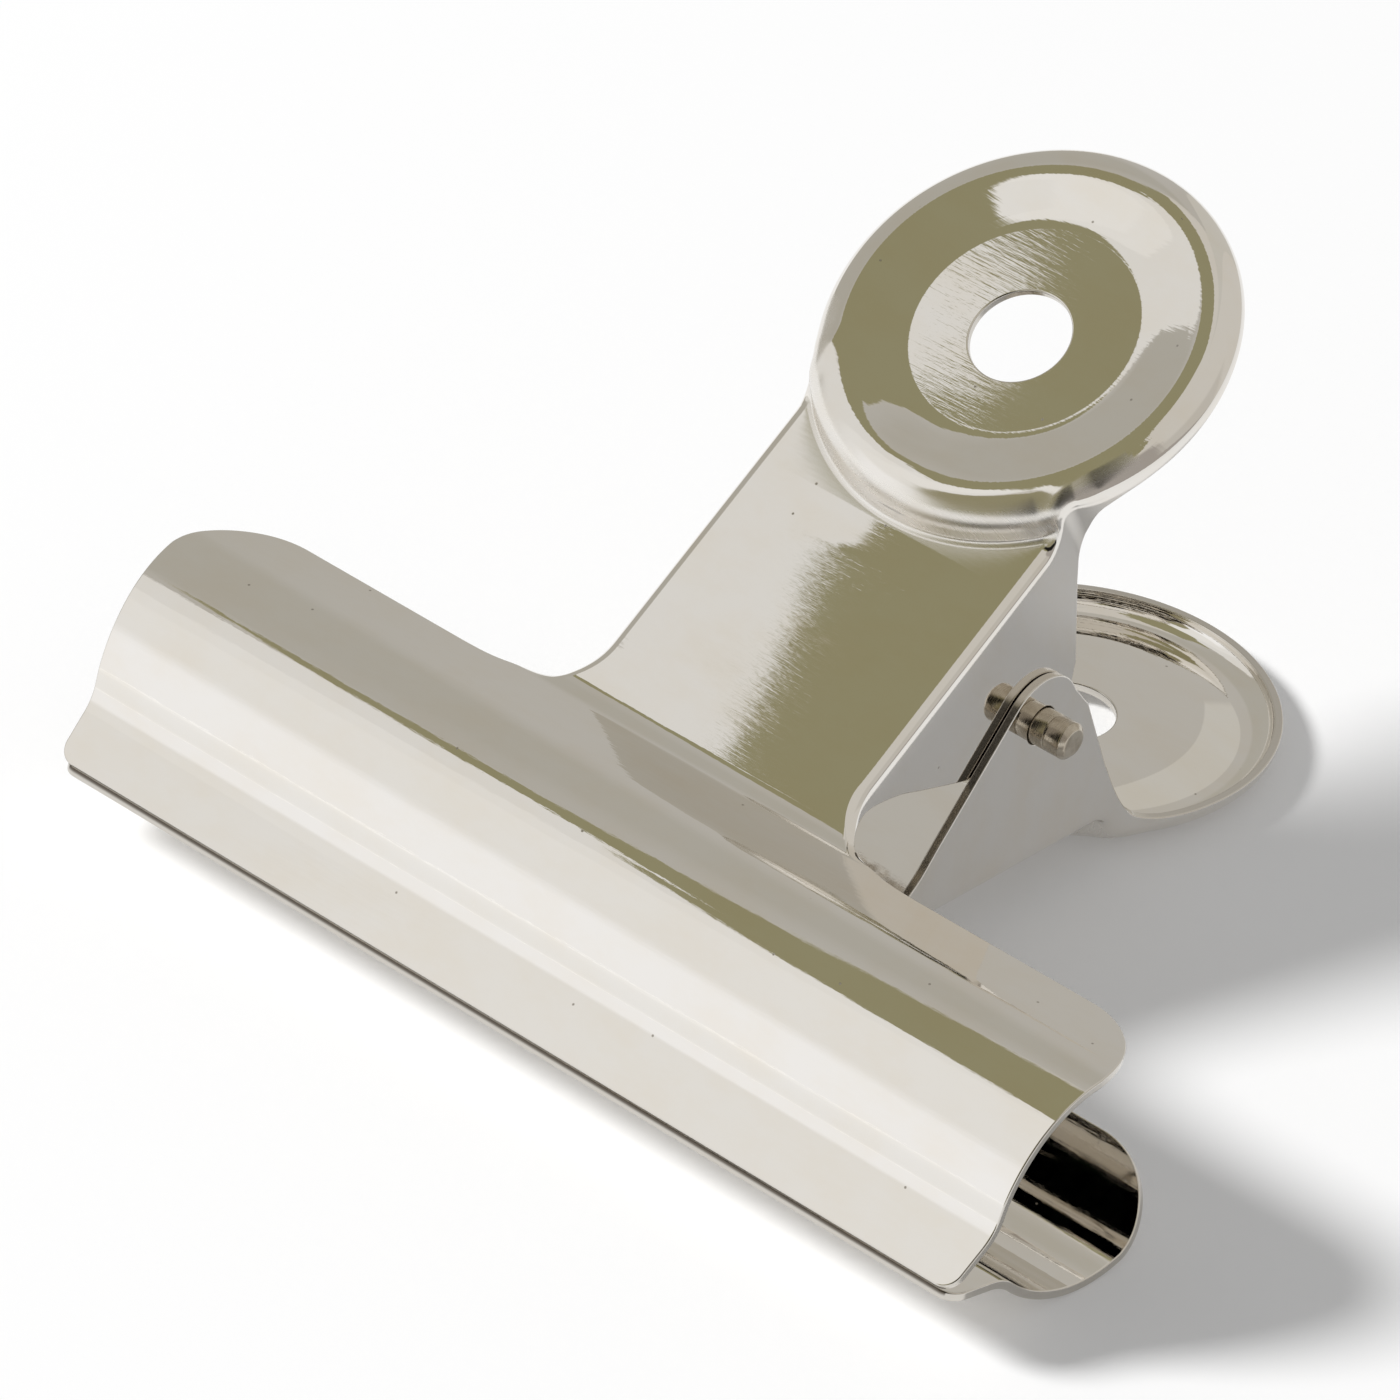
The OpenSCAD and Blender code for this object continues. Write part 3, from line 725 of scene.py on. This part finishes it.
def loops_of(f):
    """Edge loops of a triangle mesh, in the triangles' own sense."""
    e = np.concatenate([f[:, [0, 1]], f[:, [1, 2]], f[:, [2, 0]]])
    seen = set(map(tuple, e))
    follow = {a: b for a, b in seen if (b, a) not in seen}
    loops = []
    while follow:
        a, b = follow.popitem()
        loop = [a]
        while b != a:
            loop.append(b)
            if b not in follow:
                break
            b = follow.pop(b)
        loops.append(np.array(loop))
    return loops


def pressed_sheet():
    """The whole pressing as a closed mesh: points, normals, blank coordinates, triangles, and marks for the
    rounded cut edges, the strained neck and the painted shade on the lip's low corner at the gap between the
    lips."""
    v, n, uv, f = outer_surface()
    count = len(v)
    vs, ns, uvs, fs = [v, v - SHEET * n], [n, -n], [uv, uv], [f, f[:, ::-1] + count]
    total = 2 * count
    painted_gap_shade = [np.zeros(2 * count)]
    for loop in loops_of(f):
        t = unit(np.roll(v[loop], -1, 0) - np.roll(v[loop], 1, 0))
        e = unit(np.cross(t, n[loop]))
        rows = [loop]
        for turn, low in ((45, False), (90, False), (90, True), (45, True)):
            out, up = sin(turn), cos(turn)
            depth = SHEET - EDGE_R * (1 - up) if low else EDGE_R * (1 - up)
            vs.append(v[loop] + EDGE_R * out * e - depth * n[loop])
            ns.append(out * e + (-up if low else up) * n[loop])
            uvs.append(uv[loop])
            # Painted shade: the low cut edge at the lip is marked so that it darkens like the shaded gap
            # between the lips
            painted_gap_shade.append(low * (uv[loop][:, 1] < 2 * EDGE_R))
            rows.append(np.arange(total, total + len(loop)))
            total += len(loop)
        rows.append(loop + count)
        for a, b in zip(rows[:-1], rows[1:]):
            a2, b2 = np.roll(a, -1), np.roll(b, -1)
            fs += [np.stack([a, b, a2], -1), np.stack([a2, b, b2], -1)]
    edge = np.concatenate([np.zeros(2 * count), np.ones(total - 2 * count)])
    uv = np.concatenate(uvs)
    u = u_of_s(uv[:, 1])
    r = np.hypot(uv[:, 0], u)
    strain = step(r, CREST_R + 0.3, CREST_R + 1.6) * (1 - step(r, neck_foot - 0.2, neck_foot + 0.3))
    marks = {"edge": edge, "strain": strain * (u < -4), "painted_gap_shade": np.concatenate(painted_gap_shade)}
    return np.concatenate(vs), np.concatenate(ns), uv, np.concatenate(fs), marks


# From the clip's own frame to the row frame
def turn_row(n):
    """Direction in the row frame."""
    y, z = n[..., 1], n[..., 2]
    return np.stack([n[..., 0], y * tilt_cos - z * tilt_sin, y * tilt_sin + z * tilt_cos], -1)


def to_row(p):
    """Point in the row frame, in metres."""
    return (turn_row(p) + (0, REST_Y, REST_Z)) / 1000


def add_object(name, data):
    ob = bpy.data.objects.new(name, data)
    scene.collection.objects.link(ob)
    return ob


def sheet_object(name, v, n, uv, f, marks):
    """Object of the pressing, with its own normals, its blank coordinates as uv and its marks."""
    me = bpy.data.meshes.new(name)
    me.vertices.add(len(v))
    me.vertices.foreach_set("co", to_row(v).astype(np.float32).ravel())
    me.loops.add(3 * len(f))
    me.loops.foreach_set("vertex_index", f.astype(np.int32).ravel())
    me.polygons.add(len(f))
    me.polygons.foreach_set("loop_start", np.arange(0, 3 * len(f), 3, dtype=np.int32))
    me.update(calc_edges=True)
    me.uv_layers.new(name="blank").data.foreach_set("uv", uv[f].astype(np.float32).ravel())
    for key, values in marks.items():
        me.attributes.new(key, "FLOAT", "POINT").data.foreach_set("value", values.astype(np.float32))
    me.polygons.foreach_set("use_smooth", np.ones(len(f), bool))
    me.normals_split_custom_set_from_vertices(turn_row(n).tolist())
    me.update()
    return add_object(name, me)


def mesh_object(name, v, faces):
    """Object with normals by angle."""
    me = bpy.data.meshes.new(name)
    me.from_pydata(to_row(v).tolist(), [], faces)
    me.update()
    me.shade_smooth()
    ob = add_object(name, me)
    with bpy.context.temp_override(object=ob, active_object=ob, selected_objects=[ob],
                                   selected_editable_objects=[ob]):
        bpy.ops.object.shade_smooth_by_angle(angle=rad(32))
    return ob


v, n, uv, f, marks = pressed_sheet()
half_turn = np.array([-1, 1, -1])
upper = sheet_object("upper_pressing", v, n, uv, f, marks)
lower = sheet_object("lower_pressing", v * half_turn, n * half_turn, uv, f, marks)


# Pin
GROOVE_AT = 1.30  # from each end of the pin
PIN_SIDES = 64


def pin_profile():
    """The pin along its axis, from its left end to its right one: place and radius."""
    c, r, half = PIN_CHAMFER, PIN_R, ARM_LEFT + PIN_STUB
    end = [(0, 0), (0, 0.35), (0, 0.7), (0, r - c - 0.06), (0.02, r - c), (0.06, r - c + 0.04),
           (c - 0.05, r - 0.03), (c, r), (c + 0.06, r)]
    groove = [(-0.04, r), (0, r - 0.02), (0.03, r - 0.07), (0.13, r - 0.07), (0.16, r - 0.02), (0.20, r)]
    end += [(GROOVE_AT + x, y) for x, y in groove] + [(PIN_STUB, r)]
    left = [(x - half, y) for x, y in end] + [(-6, r)]
    return left + [(0, r)] + [(-x, y) for x, y in left[::-1]]


def lathe(profile, sides):
    """Turned shape about the x axis."""
    p = np.array(profile, float)
    circles = (p[:, 1, None, None] * round_points(sides)).reshape(-1, 2)
    v = np.concatenate([np.repeat(p[:, :1], sides, 0), circles], 1)
    f = []
    for i in range(len(p) - 1):
        for k in range(sides):
            a, b = i * sides + k, i * sides + (k + 1) % sides
            f += [(a, a + sides, b), (b, a + sides, b + sides)]
    return v, f


points, faces = lathe(pin_profile(), PIN_SIDES)
pin_ob = mesh_object("cross_pin", points + (0, PIN_Y, 0), faces)

# Torsion spring
COIL_STEPS, WIRE_SIDES, LEG_BEND_R = 48, 20, 1.2
END_OUT, END_SHARE = 0.06, 0.88  # the chamfer of the wire's cut ends: how far it stands out, and its size
coil_r = PIN_R + COIL_PLAY + WIRE_D / 2
coil_len = COIL_TURNS * (WIRE_D + COIL_GAP)
foot_depth = DISH_DEPTH + SHEET + FOOT_GAP + WIRE_D / 2
foot_heel = ring_c - polar(HEEL_BACK, RING_ANGLE) - foot_depth * normal(RING_ANGLE)


def rounded(points, r, steps=8):
    """Path with its corners rounded."""
    p = [np.array(x, float) for x in points]
    out = [p[0]]
    for i in range(1, len(p) - 1):
        a, b = p[i - 1] - p[i], p[i + 1] - p[i]
        la, lb = np.linalg.norm(a), np.linalg.norm(b)
        a, b = a / la, b / lb
        half_angle = math.acos(np.clip(a @ b, -1, 1)) / 2
        cut = min(r / math.tan(half_angle), 0.45 * la, 0.45 * lb)
        first, last = p[i] + a * cut, p[i] + b * cut
        for k in range(steps + 1):
            t = k / steps
            out.append((1 - t) ** 2 * first + 2 * t * (1 - t) * p[i] + t * t * last)
    out.append(p[-1])
    return out


def dense(points, d=0.7):
    """Path with points at most d apart."""
    out = [points[0]]
    for a, b in zip(points[:-1], points[1:]):
        m = max(1, int(np.linalg.norm(b - a) / d))
        out += [a + (b - a) * (k + 1) / m for k in range(m)]
    return out


def foot(side, x):
    """Tip and heel of the foot that presses on one ring."""
    tip = foot_heel + polar(FOOT_LEN, RING_ANGLE)
    return [np.array([x, q[0], side * q[1]]) for q in (tip, foot_heel)]


def wire_path():
    """The spring's centre line, from the lower foot round the pin to the upper foot."""
    out = foot_heel - pin_c
    touch = angle_of(out) - math.degrees(math.acos(coil_r / np.linalg.norm(out)))
    sweep = 360 * COIL_TURNS + 2 * touch
    n = COIL_STEPS * COIL_TURNS
    coil = []
    for k in range(n + 1):
        q = polar(coil_r, -touch + sweep * k / n)
        coil.append(np.array([coil_len * (k / n - 0.5), PIN_Y + q[0], q[1]]))
    low_tip, low_heel = foot(-1, -coil_len / 2)
    high_tip, high_heel = foot(1, coil_len / 2)
    low = rounded([low_tip, low_heel, coil[0]], LEG_BEND_R)
    high = rounded([coil[-1], high_heel, high_tip], LEG_BEND_R)
    return np.array(dense(low[:-1] + coil + high[1:]))


def wire_mesh(path):
    """Round wire along a path, with a small chamfer at its cut ends."""
    along = unit(np.gradient(path, axis=0))
    side = np.array([1.0, 0, 0]) - along * along[:, :1]
    side = unit(np.where(np.linalg.norm(side, axis=1, keepdims=True) > 1e-3, side, [0, 1, 0]))
    other = np.cross(along, side)
    c = round_points(WIRE_SIDES)
    rings = path[:, None] + WIRE_D / 2 * (c[None, :, :1] * side[:, None] + c[None, :, 1:] * other[:, None])
    first = path[0] - along[0] * END_OUT + (rings[0] - path[0]) * END_SHARE
    last = path[-1] + along[-1] * END_OUT + (rings[-1] - path[-1]) * END_SHARE
    rings = np.concatenate([[first], rings, [last]])
    f = []
    for i in range(len(rings) - 1):
        for k in range(WIRE_SIDES):
            a, b = i * WIRE_SIDES + k, i * WIRE_SIDES + (k + 1) % WIRE_SIDES
            f.append((a, b, b + WIRE_SIDES, a + WIRE_SIDES))
    f.append(tuple(range(WIRE_SIDES))[::-1])
    f.append(tuple((len(rings) - 1) * WIRE_SIDES + k for k in range(WIRE_SIDES)))
    return rings.reshape(-1, 3), f


spring = mesh_object("wound_spring", *wire_mesh(wire_path()))


# Materials
NICKEL = (0.80, 0.775, 0.735)


class Nodes:
    """Small helper that adds nodes and links them."""

    def __init__(self, tree):
        self.tree = tree

    def feed(self, node, inputs):
        """Sets a node's inputs. A socket is linked."""
        for key, value in inputs.items():
            if isinstance(value, bpy.types.NodeSocket):
                self.tree.links.new(value, node.inputs[key])
            else:
                node.inputs[key].default_value = value

    def add(self, kind, inputs=None, **settings):
        node = self.tree.nodes.new("ShaderNode" + kind)
        for key, value in settings.items():
            setattr(node, key, value)
        self.feed(node, inputs or {})
        return node

    def math(self, op, a, b=0.0, add=0.0):
        return self.add("Math", {0: a, 1: b, 2: add}, operation=op).outputs[0]

    def sum(self, first, *parts):
        for part in parts:
            first = self.math("ADD", first, part)
        return first

    def mark(self, name):
        return self.add("Attribute", attribute_name=name).outputs["Fac"]

    def noise(self, vector, scale, size, detail=2.0, rough=0.5):
        """Noise whose grain is size long in each direction."""
        scales = tuple(scale / x for x in size)
        at = self.add("Mapping", {"Vector": vector, "Scale": scales}).outputs[0]
        inputs = {"Vector": at, "Scale": 1.0, "Detail": detail, "Roughness": rough}
        return self.add("TexNoise", inputs).outputs[0]

    def ramp(self, value, a, b, low=0.0, high=1.0, kind="SMOOTHSTEP"):
        inputs = {"Value": value, "From Min": a, "From Max": b, "To Min": low, "To Max": high}
        return self.add("MapRange", inputs, interpolation_type=kind).outputs[0]

    def mix(self, fac, a, b):
        return self.add("Mix", {0: fac, 6: a, 7: b}, data_type="RGBA").outputs[2]

    def bump(self, height, distance, normal=None, strength=1.0):
        inputs = {"Height": height, "Distance": distance, "Strength": strength}
        if normal is not None:
            inputs["Normal"] = normal
        return self.add("Bump", inputs).outputs[0]


def new_material(name, metallic):
    """A node material, its nodes and its shader."""
    mat = bpy.data.materials.new(name)
    mat.use_nodes = True
    shader = mat.node_tree.nodes["Principled BSDF"]
    shader.inputs["Metallic"].default_value = metallic
    return mat, Nodes(mat.node_tree), shader


def nickel_plate():
    """Bright nickel on rolled sheet: fine grain across the clip, faint stains, specks, duller cut edges, and
    painted shade on the lip's low cut edge where the lips meet.
    """
    mat, n, shader = new_material("nickel_plate", 1.0)
    uv = n.add("UVMap", uv_map="blank").outputs[0]
    edge, painted_gap_shade, strain = n.mark("edge"), n.mark("painted_gap_shade"), n.mark("strain")
    grain = n.noise(uv, 1.0, (2.6, 0.25, 1.0), 3.0, 0.55)
    fine = n.noise(uv, 1.0, (1.1, 0.07, 1.0), 2.0, 0.6)
    wave = n.noise(uv, 1.0, (9.0, 5.0, 1.0), 1.0)
    stain = n.noise(uv, 1.0, (7.0, 4.0, 1.0), 4.0, 0.65)
    cells = n.add("TexVoronoi", {"Vector": uv, "Scale": 0.21}, voronoi_dimensions="2D")
    chance = n.add("SeparateColor", {0: cells.outputs["Color"]}).outputs[0]
    speck = n.ramp(cells.outputs["Distance"], 0.010, 0.022, 1.0, 0.0)
    speck = n.math("MULTIPLY", speck, n.ramp(chance, 0.78, 0.8))
    yellowed = (NICKEL[0] * 0.985, NICKEL[1] * 0.965, NICKEL[2] * 0.93, 1)
    tint = n.mix(n.ramp(stain, 0.35, 0.75), (*NICKEL, 1), yellowed)
    tint = n.mix(n.math("MULTIPLY", edge, 0.6), tint, (0.50, 0.47, 0.42, 1))
    tint = n.mix(n.math("MULTIPLY", speck, 0.6), tint, (0.16, 0.13, 0.10, 1))
    # Painted shade: near-black on the lip's low cut edge, standing for the shadow in the gap between the lips
    tint = n.mix(n.ramp(painted_gap_shade, 0.35, 1.0, 0.0, 0.9), tint, (0.075, 0.058, 0.042, 1))
    rough = n.sum(n.ramp(fine, 0.3, 0.7, 0.008, 0.03), n.ramp(stain, 0.5, 0.8, 0.0, 0.025),
                  n.math("MULTIPLY", edge, 0.16), n.math("MULTIPLY", speck, 0.3),
                  n.math("MULTIPLY", strain, 0.26))
    plain = n.math("SUBTRACT", 1.0, n.math("MULTIPLY", strain, 0.9))
    normal = n.bump(wave, 6.0e-6)
    normal = n.bump(grain, 2.3e-6, normal, plain)
    normal = n.bump(fine, 6.0e-8, normal)
    n.feed(shader, {"Base Color": tint, "Roughness": rough, "Normal": normal})
    return mat


def bare_steel(name, lines_size, blot_size, light, dark, roughness, bump):
    """Bare steel with fine lines and darker blots of the given sizes. The lines vary its roughness."""
    mat, n, shader = new_material(name, 1.0)
    at = n.add("TexCoord").outputs["Object"]
    lines = n.noise(at, 1000.0, lines_size, 3.0, 0.6)
    blot = n.noise(at, 1000.0, blot_size, 4.0, 0.6)
    color = n.mix(n.ramp(blot, 0.35, 0.7), light, dark)
    rough = n.ramp(lines, 0.3, 0.7, *roughness)
    n.feed(shader, {"Base Color": color, "Roughness": rough, "Normal": n.bump(lines, bump)})
    return mat


plate = nickel_plate()
# The pin has faint turning lines round its axis, the wire fine lines and a lighter tone
steel = bare_steel("pin_steel_bare", (0.05, 3.0, 3.0), (1.2, 0.8, 0.8),
                   (0.53, 0.48, 0.40, 1), (0.38, 0.33, 0.26, 1), (0.16, 0.30), 1.2e-6)
wire = bare_steel("drawn_wire", (0.09, 0.9, 0.9), (1.5, 0.9, 0.9),
                  (0.60, 0.57, 0.52, 1), (0.46, 0.42, 0.37, 1), (0.18, 0.32), 1.5e-6)
for ob, mat in ((upper, plate), (lower, plate), (pin_ob, steel), (spring, wire)):
    ob.data.materials.append(mat)

# Riding on the CAD bodies
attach(upper, "upper")
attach(lower, "lower")
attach(pin_ob, "lower")
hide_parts("upper_jaw")
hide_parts("lower_jaw")
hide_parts("pivot_pin")
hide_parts("torsion_spring")
pin_row = to_row(np.array([0.0, PIN_Y, 0.0]))
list(pin_row[1:])
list(pin_row[1:])
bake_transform(spring)

# Studio
FLOOR_HALF, FLOOR_Z, FLOOR_GLOW, FLOOR_COLOR = 3, -2e-5, 0.12, (0.89, 0.89, 0.89, 1)
SKY = 0.33  # the world's light on the floor; its background shows white
LAMP_AZ, LAMP_EL, LAMP_DISTANCE, LAMP_SIZE, LAMP_ENERGY = -52, 40, 5, 1.4, 250
CARD_LIMIT = 200.0  # degrees; no card reaches farther
# Cards of the light tent, the later ones in front. Each has its colour as it looks in the plate, the softness
# of its edges, the direction that its rows follow, and rows of position, from and to, all in degrees.
CARDS = [
    ((195, 189, 179), 1, "az", None),
    ((188, 183, 173), 8, "el", [(-90, -200, -155), (90, -200, -155)]),
    ((184, 178, 168), 10, "el", [(-90, 70, 126), (34, 70, 126)]),
    ((156, 149, 141), 8, "el", [(-12, 44, 130), (0, 44, 126), (12, 44, 84), (40, 44, 70), (50, 44, 58)]),
    ((175, 170, 161), 1, "az", [
        (-158, -90, 58), (-125, -90, 59.5), (-110, -90, 60.8), (-95, -90, 60.8), (-88, -90, 59.3),
        (-84, -90, 58.3), (-82, -90, 56.4), (-80.3, -90, 54.2), (-73.5, -90, 54.2)]),
    ((167, 162, 151), 9, "el", [(-90, -142, -74), (48, -142, -74), (58, -142, -86)]),
    ((138, 132, 102), 0.5, "az", [
        (-117, 61, 69), (-112, 60.8, 75), (-95, 60.8, 79), (-88, 59.3, 80), (-84, 58.3, 81), (-82, 56.4, 82),
        (-80.3, 54.2, 82), (-78, 54.0, 82), (-75, 54.6, 82), (-72.5, 56.0, 82), (-64, 55.5, 82),
        (-55, 54, 80), (-30, 59, 77), (-24, 58, 76), (0, 50, 74), (36, 45, 66), (45, 40, 58)]),
    ((213, 209, 202), 0.2, "az", [
        (-75.3, -90, 41), (-74.3, -90, 50.5), (-73.4, -90, 55), (-72.5, -90, 57.2), (-71, -90, 57.4),
        (-70.6, -90, 57.8), (-68.8, -90, 57.8), (-68.2, -90, 56.8), (-66, -90, 56.2), (-64.3, -90, 55.8),
        (-55, -90, 54.5), (-50, -90, 54)]),
    ((220, 216, 209), 0.9, "az", [(-58, -90, 55.2), (-50, -90, 57.5), (-43, -90, 59.2), (-26, -90, 58.8)]),
    ((223, 219, 212), 2, "el", [
        (-90, -50, -10), (0, -50, -14), (15, -50, -18), (30, -50, -29), (45, -50, -34), (59.5, -50, -34)]),
    ((237, 234, 230), 8, "el", [(-14, -48, -18), (14, -48, -24), (24, -48, -27)]),
    ((138, 131, 103), 2, "el", [
        (-34, -10, 3), (-5, -13, 16), (15, -18, 14), (30, -29, 11), (42, -31, 6), (48, -25, 2),
        (54, -22, -10)]),
    ((28, 26, 22), 5, "el", [
        (-25, 18, 48), (0, 18, 50), (15, 16, 50), (30, 12, 47), (42, 6, 44), (50, 0, 38), (58, -14, 26),
        (66, -16, 4)]),
]


def direction(azimuth, elevation):
    """Unit vector: azimuth 0 is the front, 90 the right."""
    return np.array([cos(elevation) * sin(azimuth), -cos(elevation) * cos(azimuth), sin(elevation)])


def light_of(color):
    """Light of a card that looks like the given colour in the plate."""
    c = np.array(color) / 255
    c = np.where(c <= 0.04045, c / 12.92, ((c + 0.055) / 1.055) ** 2.4)
    return (*(c / NICKEL), 1.0)


def curve_of(n, value, rows, column):
    """Border of a card, a broken line through its rows; value runs from 0 to 1 over them."""
    node = n.add("FloatCurve", {"Factor": 1.0, "Value": value})
    curve = node.mapping.curves[0]
    first, last = rows[0][0], rows[-1][0]
    places = [((r[0] - first) / (last - first), (r[column] + CARD_LIMIT) / (2 * CARD_LIMIT)) for r in rows]
    curve.points[0].location, curve.points[1].location = places[0], places[-1]
    for inner in places[1:-1]:
        curve.points.new(*inner)
    for point in curve.points:
        point.handle_type = "VECTOR"
    node.mapping.update()
    return n.ramp(node.outputs[0], 0.0, 1.0, -CARD_LIMIT, CARD_LIMIT, "LINEAR")


def tent_material():
    """The cards' light by direction: degrees round the clip and degrees up."""
    mat, n, _ = new_material("light_tent", 0.0)
    n.tree.nodes.clear()
    at = n.add("TexCoord").outputs["Object"]
    at = n.add("VectorMath", {0: at}, operation="NORMALIZE").outputs[0]
    x, y, z = n.add("SeparateXYZ", {0: at}).outputs
    around = n.math("MULTIPLY", n.math("ARCTAN2", x, n.math("MULTIPLY", y, -1.0)), 180 / math.pi)
    high = n.math("MULTIPLY", n.math("ARCSINE", z), 180 / math.pi)
    color = light_of(CARDS[0][0])
    for seen, soft, way, rows in CARDS[1:]:
        along, across = (around, high) if way == "az" else (high, around)
        first, last = float(rows[0][0]), float(rows[-1][0])
        part = n.ramp(along, first, last, kind="LINEAR")
        low, top = curve_of(n, part, rows, 1), curve_of(n, part, rows, 2)
        borders = n.math("MINIMUM", n.math("SUBTRACT", across, low), n.math("SUBTRACT", top, across))
        ends = n.math("MINIMUM", n.math("SUBTRACT", along, first), n.math("SUBTRACT", last, along))
        mask = n.ramp(n.math("MINIMUM", borders, ends), -soft / 2, soft / 2)
        color = n.mix(mask, color, light_of(seen))
    emission = n.add("Emission", {"Color": color, "Strength": 1.0})
    n.add("OutputMaterial", {"Surface": emission.outputs[0]})
    mat.cycles.emission_sampling = "NONE"
    return mat


def light_tent():
    """Sphere that carries the cards. It shows in reflections only."""
    bpy.ops.mesh.primitive_uv_sphere_add(segments=96, ring_count=48, radius=1.0)
    ob = bpy.context.object
    ob.name = "light_tent"
    ob.data.materials.append(tent_material())
    ob.visible_camera = ob.visible_shadow = ob.visible_diffuse = False
    return ob


def looked_at(n):
    """1 for a ray from the camera, a mirror or glass, 0 for one that lights a surface."""
    ray = n.add("LightPath").outputs
    mirrored = n.math("MAXIMUM", ray["Is Glossy Ray"], ray["Is Transmission Ray"])
    return n.math("MAXIMUM", ray["Is Camera Ray"], mirrored)


def studio_floor():
    """White floor that takes the shadow, with a faint glow of its own where it is looked at."""
    me = bpy.data.meshes.new("studio_floor")
    corners = [(FLOOR_HALF * x, FLOOR_HALF * y, FLOOR_Z) for x, y in ((-1, -1), (1, -1), (1, 1), (-1, 1))]
    me.from_pydata(corners, [], [(0, 1, 2, 3)])
    mat, n, shader = new_material("studio_white", 0.0)
    n.feed(shader, {"Base Color": FLOOR_COLOR, "Roughness": 0.9,
                    "Specular IOR Level": 0.0, "Emission Color": (1, 1, 1, 1),
                    "Emission Strength": n.math("MULTIPLY", looked_at(n), FLOOR_GLOW)})
    mat.cycles.emission_sampling = "NONE"
    me.materials.append(mat)
    return add_object("studio_floor", me)


def key_lamp():
    """The main light, from the left. It doesn't show in reflections."""
    lamp = bpy.data.lights.new("key", "AREA")
    lamp.shape = "DISK"
    lamp.size = LAMP_SIZE
    lamp.energy = LAMP_ENERGY
    key = add_object("key", lamp)
    key.location = Vector(direction(LAMP_AZ, LAMP_EL)) * LAMP_DISTANCE
    key.rotation_euler = key.location.to_track_quat("Z", "Y").to_euler()
    key.visible_glossy = False


def studio_world():
    """White where it is looked at, dimmer as a light."""
    world = bpy.data.worlds.new("studio")
    scene.world = world
    world.use_nodes = True
    n = Nodes(world.node_tree)
    strength = n.math("MULTIPLY_ADD", looked_at(n), 1 - SKY, add=SKY)
    n.feed(world.node_tree.nodes["Background"], {"Color": (1, 1, 1, 1), "Strength": strength})


tent = light_tent()
floor = studio_floor()
key_lamp()
studio_world()

# Camera at the photograph's angle, in the clip's own frame
AZ, EL, ROLL, DIST = 47.951, 45.539, -8.623, 564.4
TARGET = np.array([0, 18.927, 9.724])
FOCAL_PIXELS, PHOTO_PIXELS, SENSOR = 10122, 1400, 36


def photo_camera():
    back = direction(AZ, EL)
    level = np.array([cos(AZ), sin(AZ), 0])
    over = np.cross(back, level)
    right, up = cos(ROLL) * level + sin(ROLL) * over, -sin(ROLL) * level + cos(ROLL) * over
    cam = bpy.data.cameras.new("camera")
    cam.lens = FOCAL_PIXELS / PHOTO_PIXELS * SENSOR
    cam.sensor_width = SENSOR
    cam.clip_start, cam.clip_end = 0.01, 100
    ob = add_object("camera", cam)
    pose = np.eye(4)
    pose[:3, :3] = np.stack([turn_row(right), turn_row(up), turn_row(back)], -1)
    pose[:3, 3] = to_row(TARGET + back * DIST)
    ob.matrix_world = Matrix(pose.tolist())
    return ob


scene.camera = photo_camera()
scene.view_settings.view_transform = "Standard"
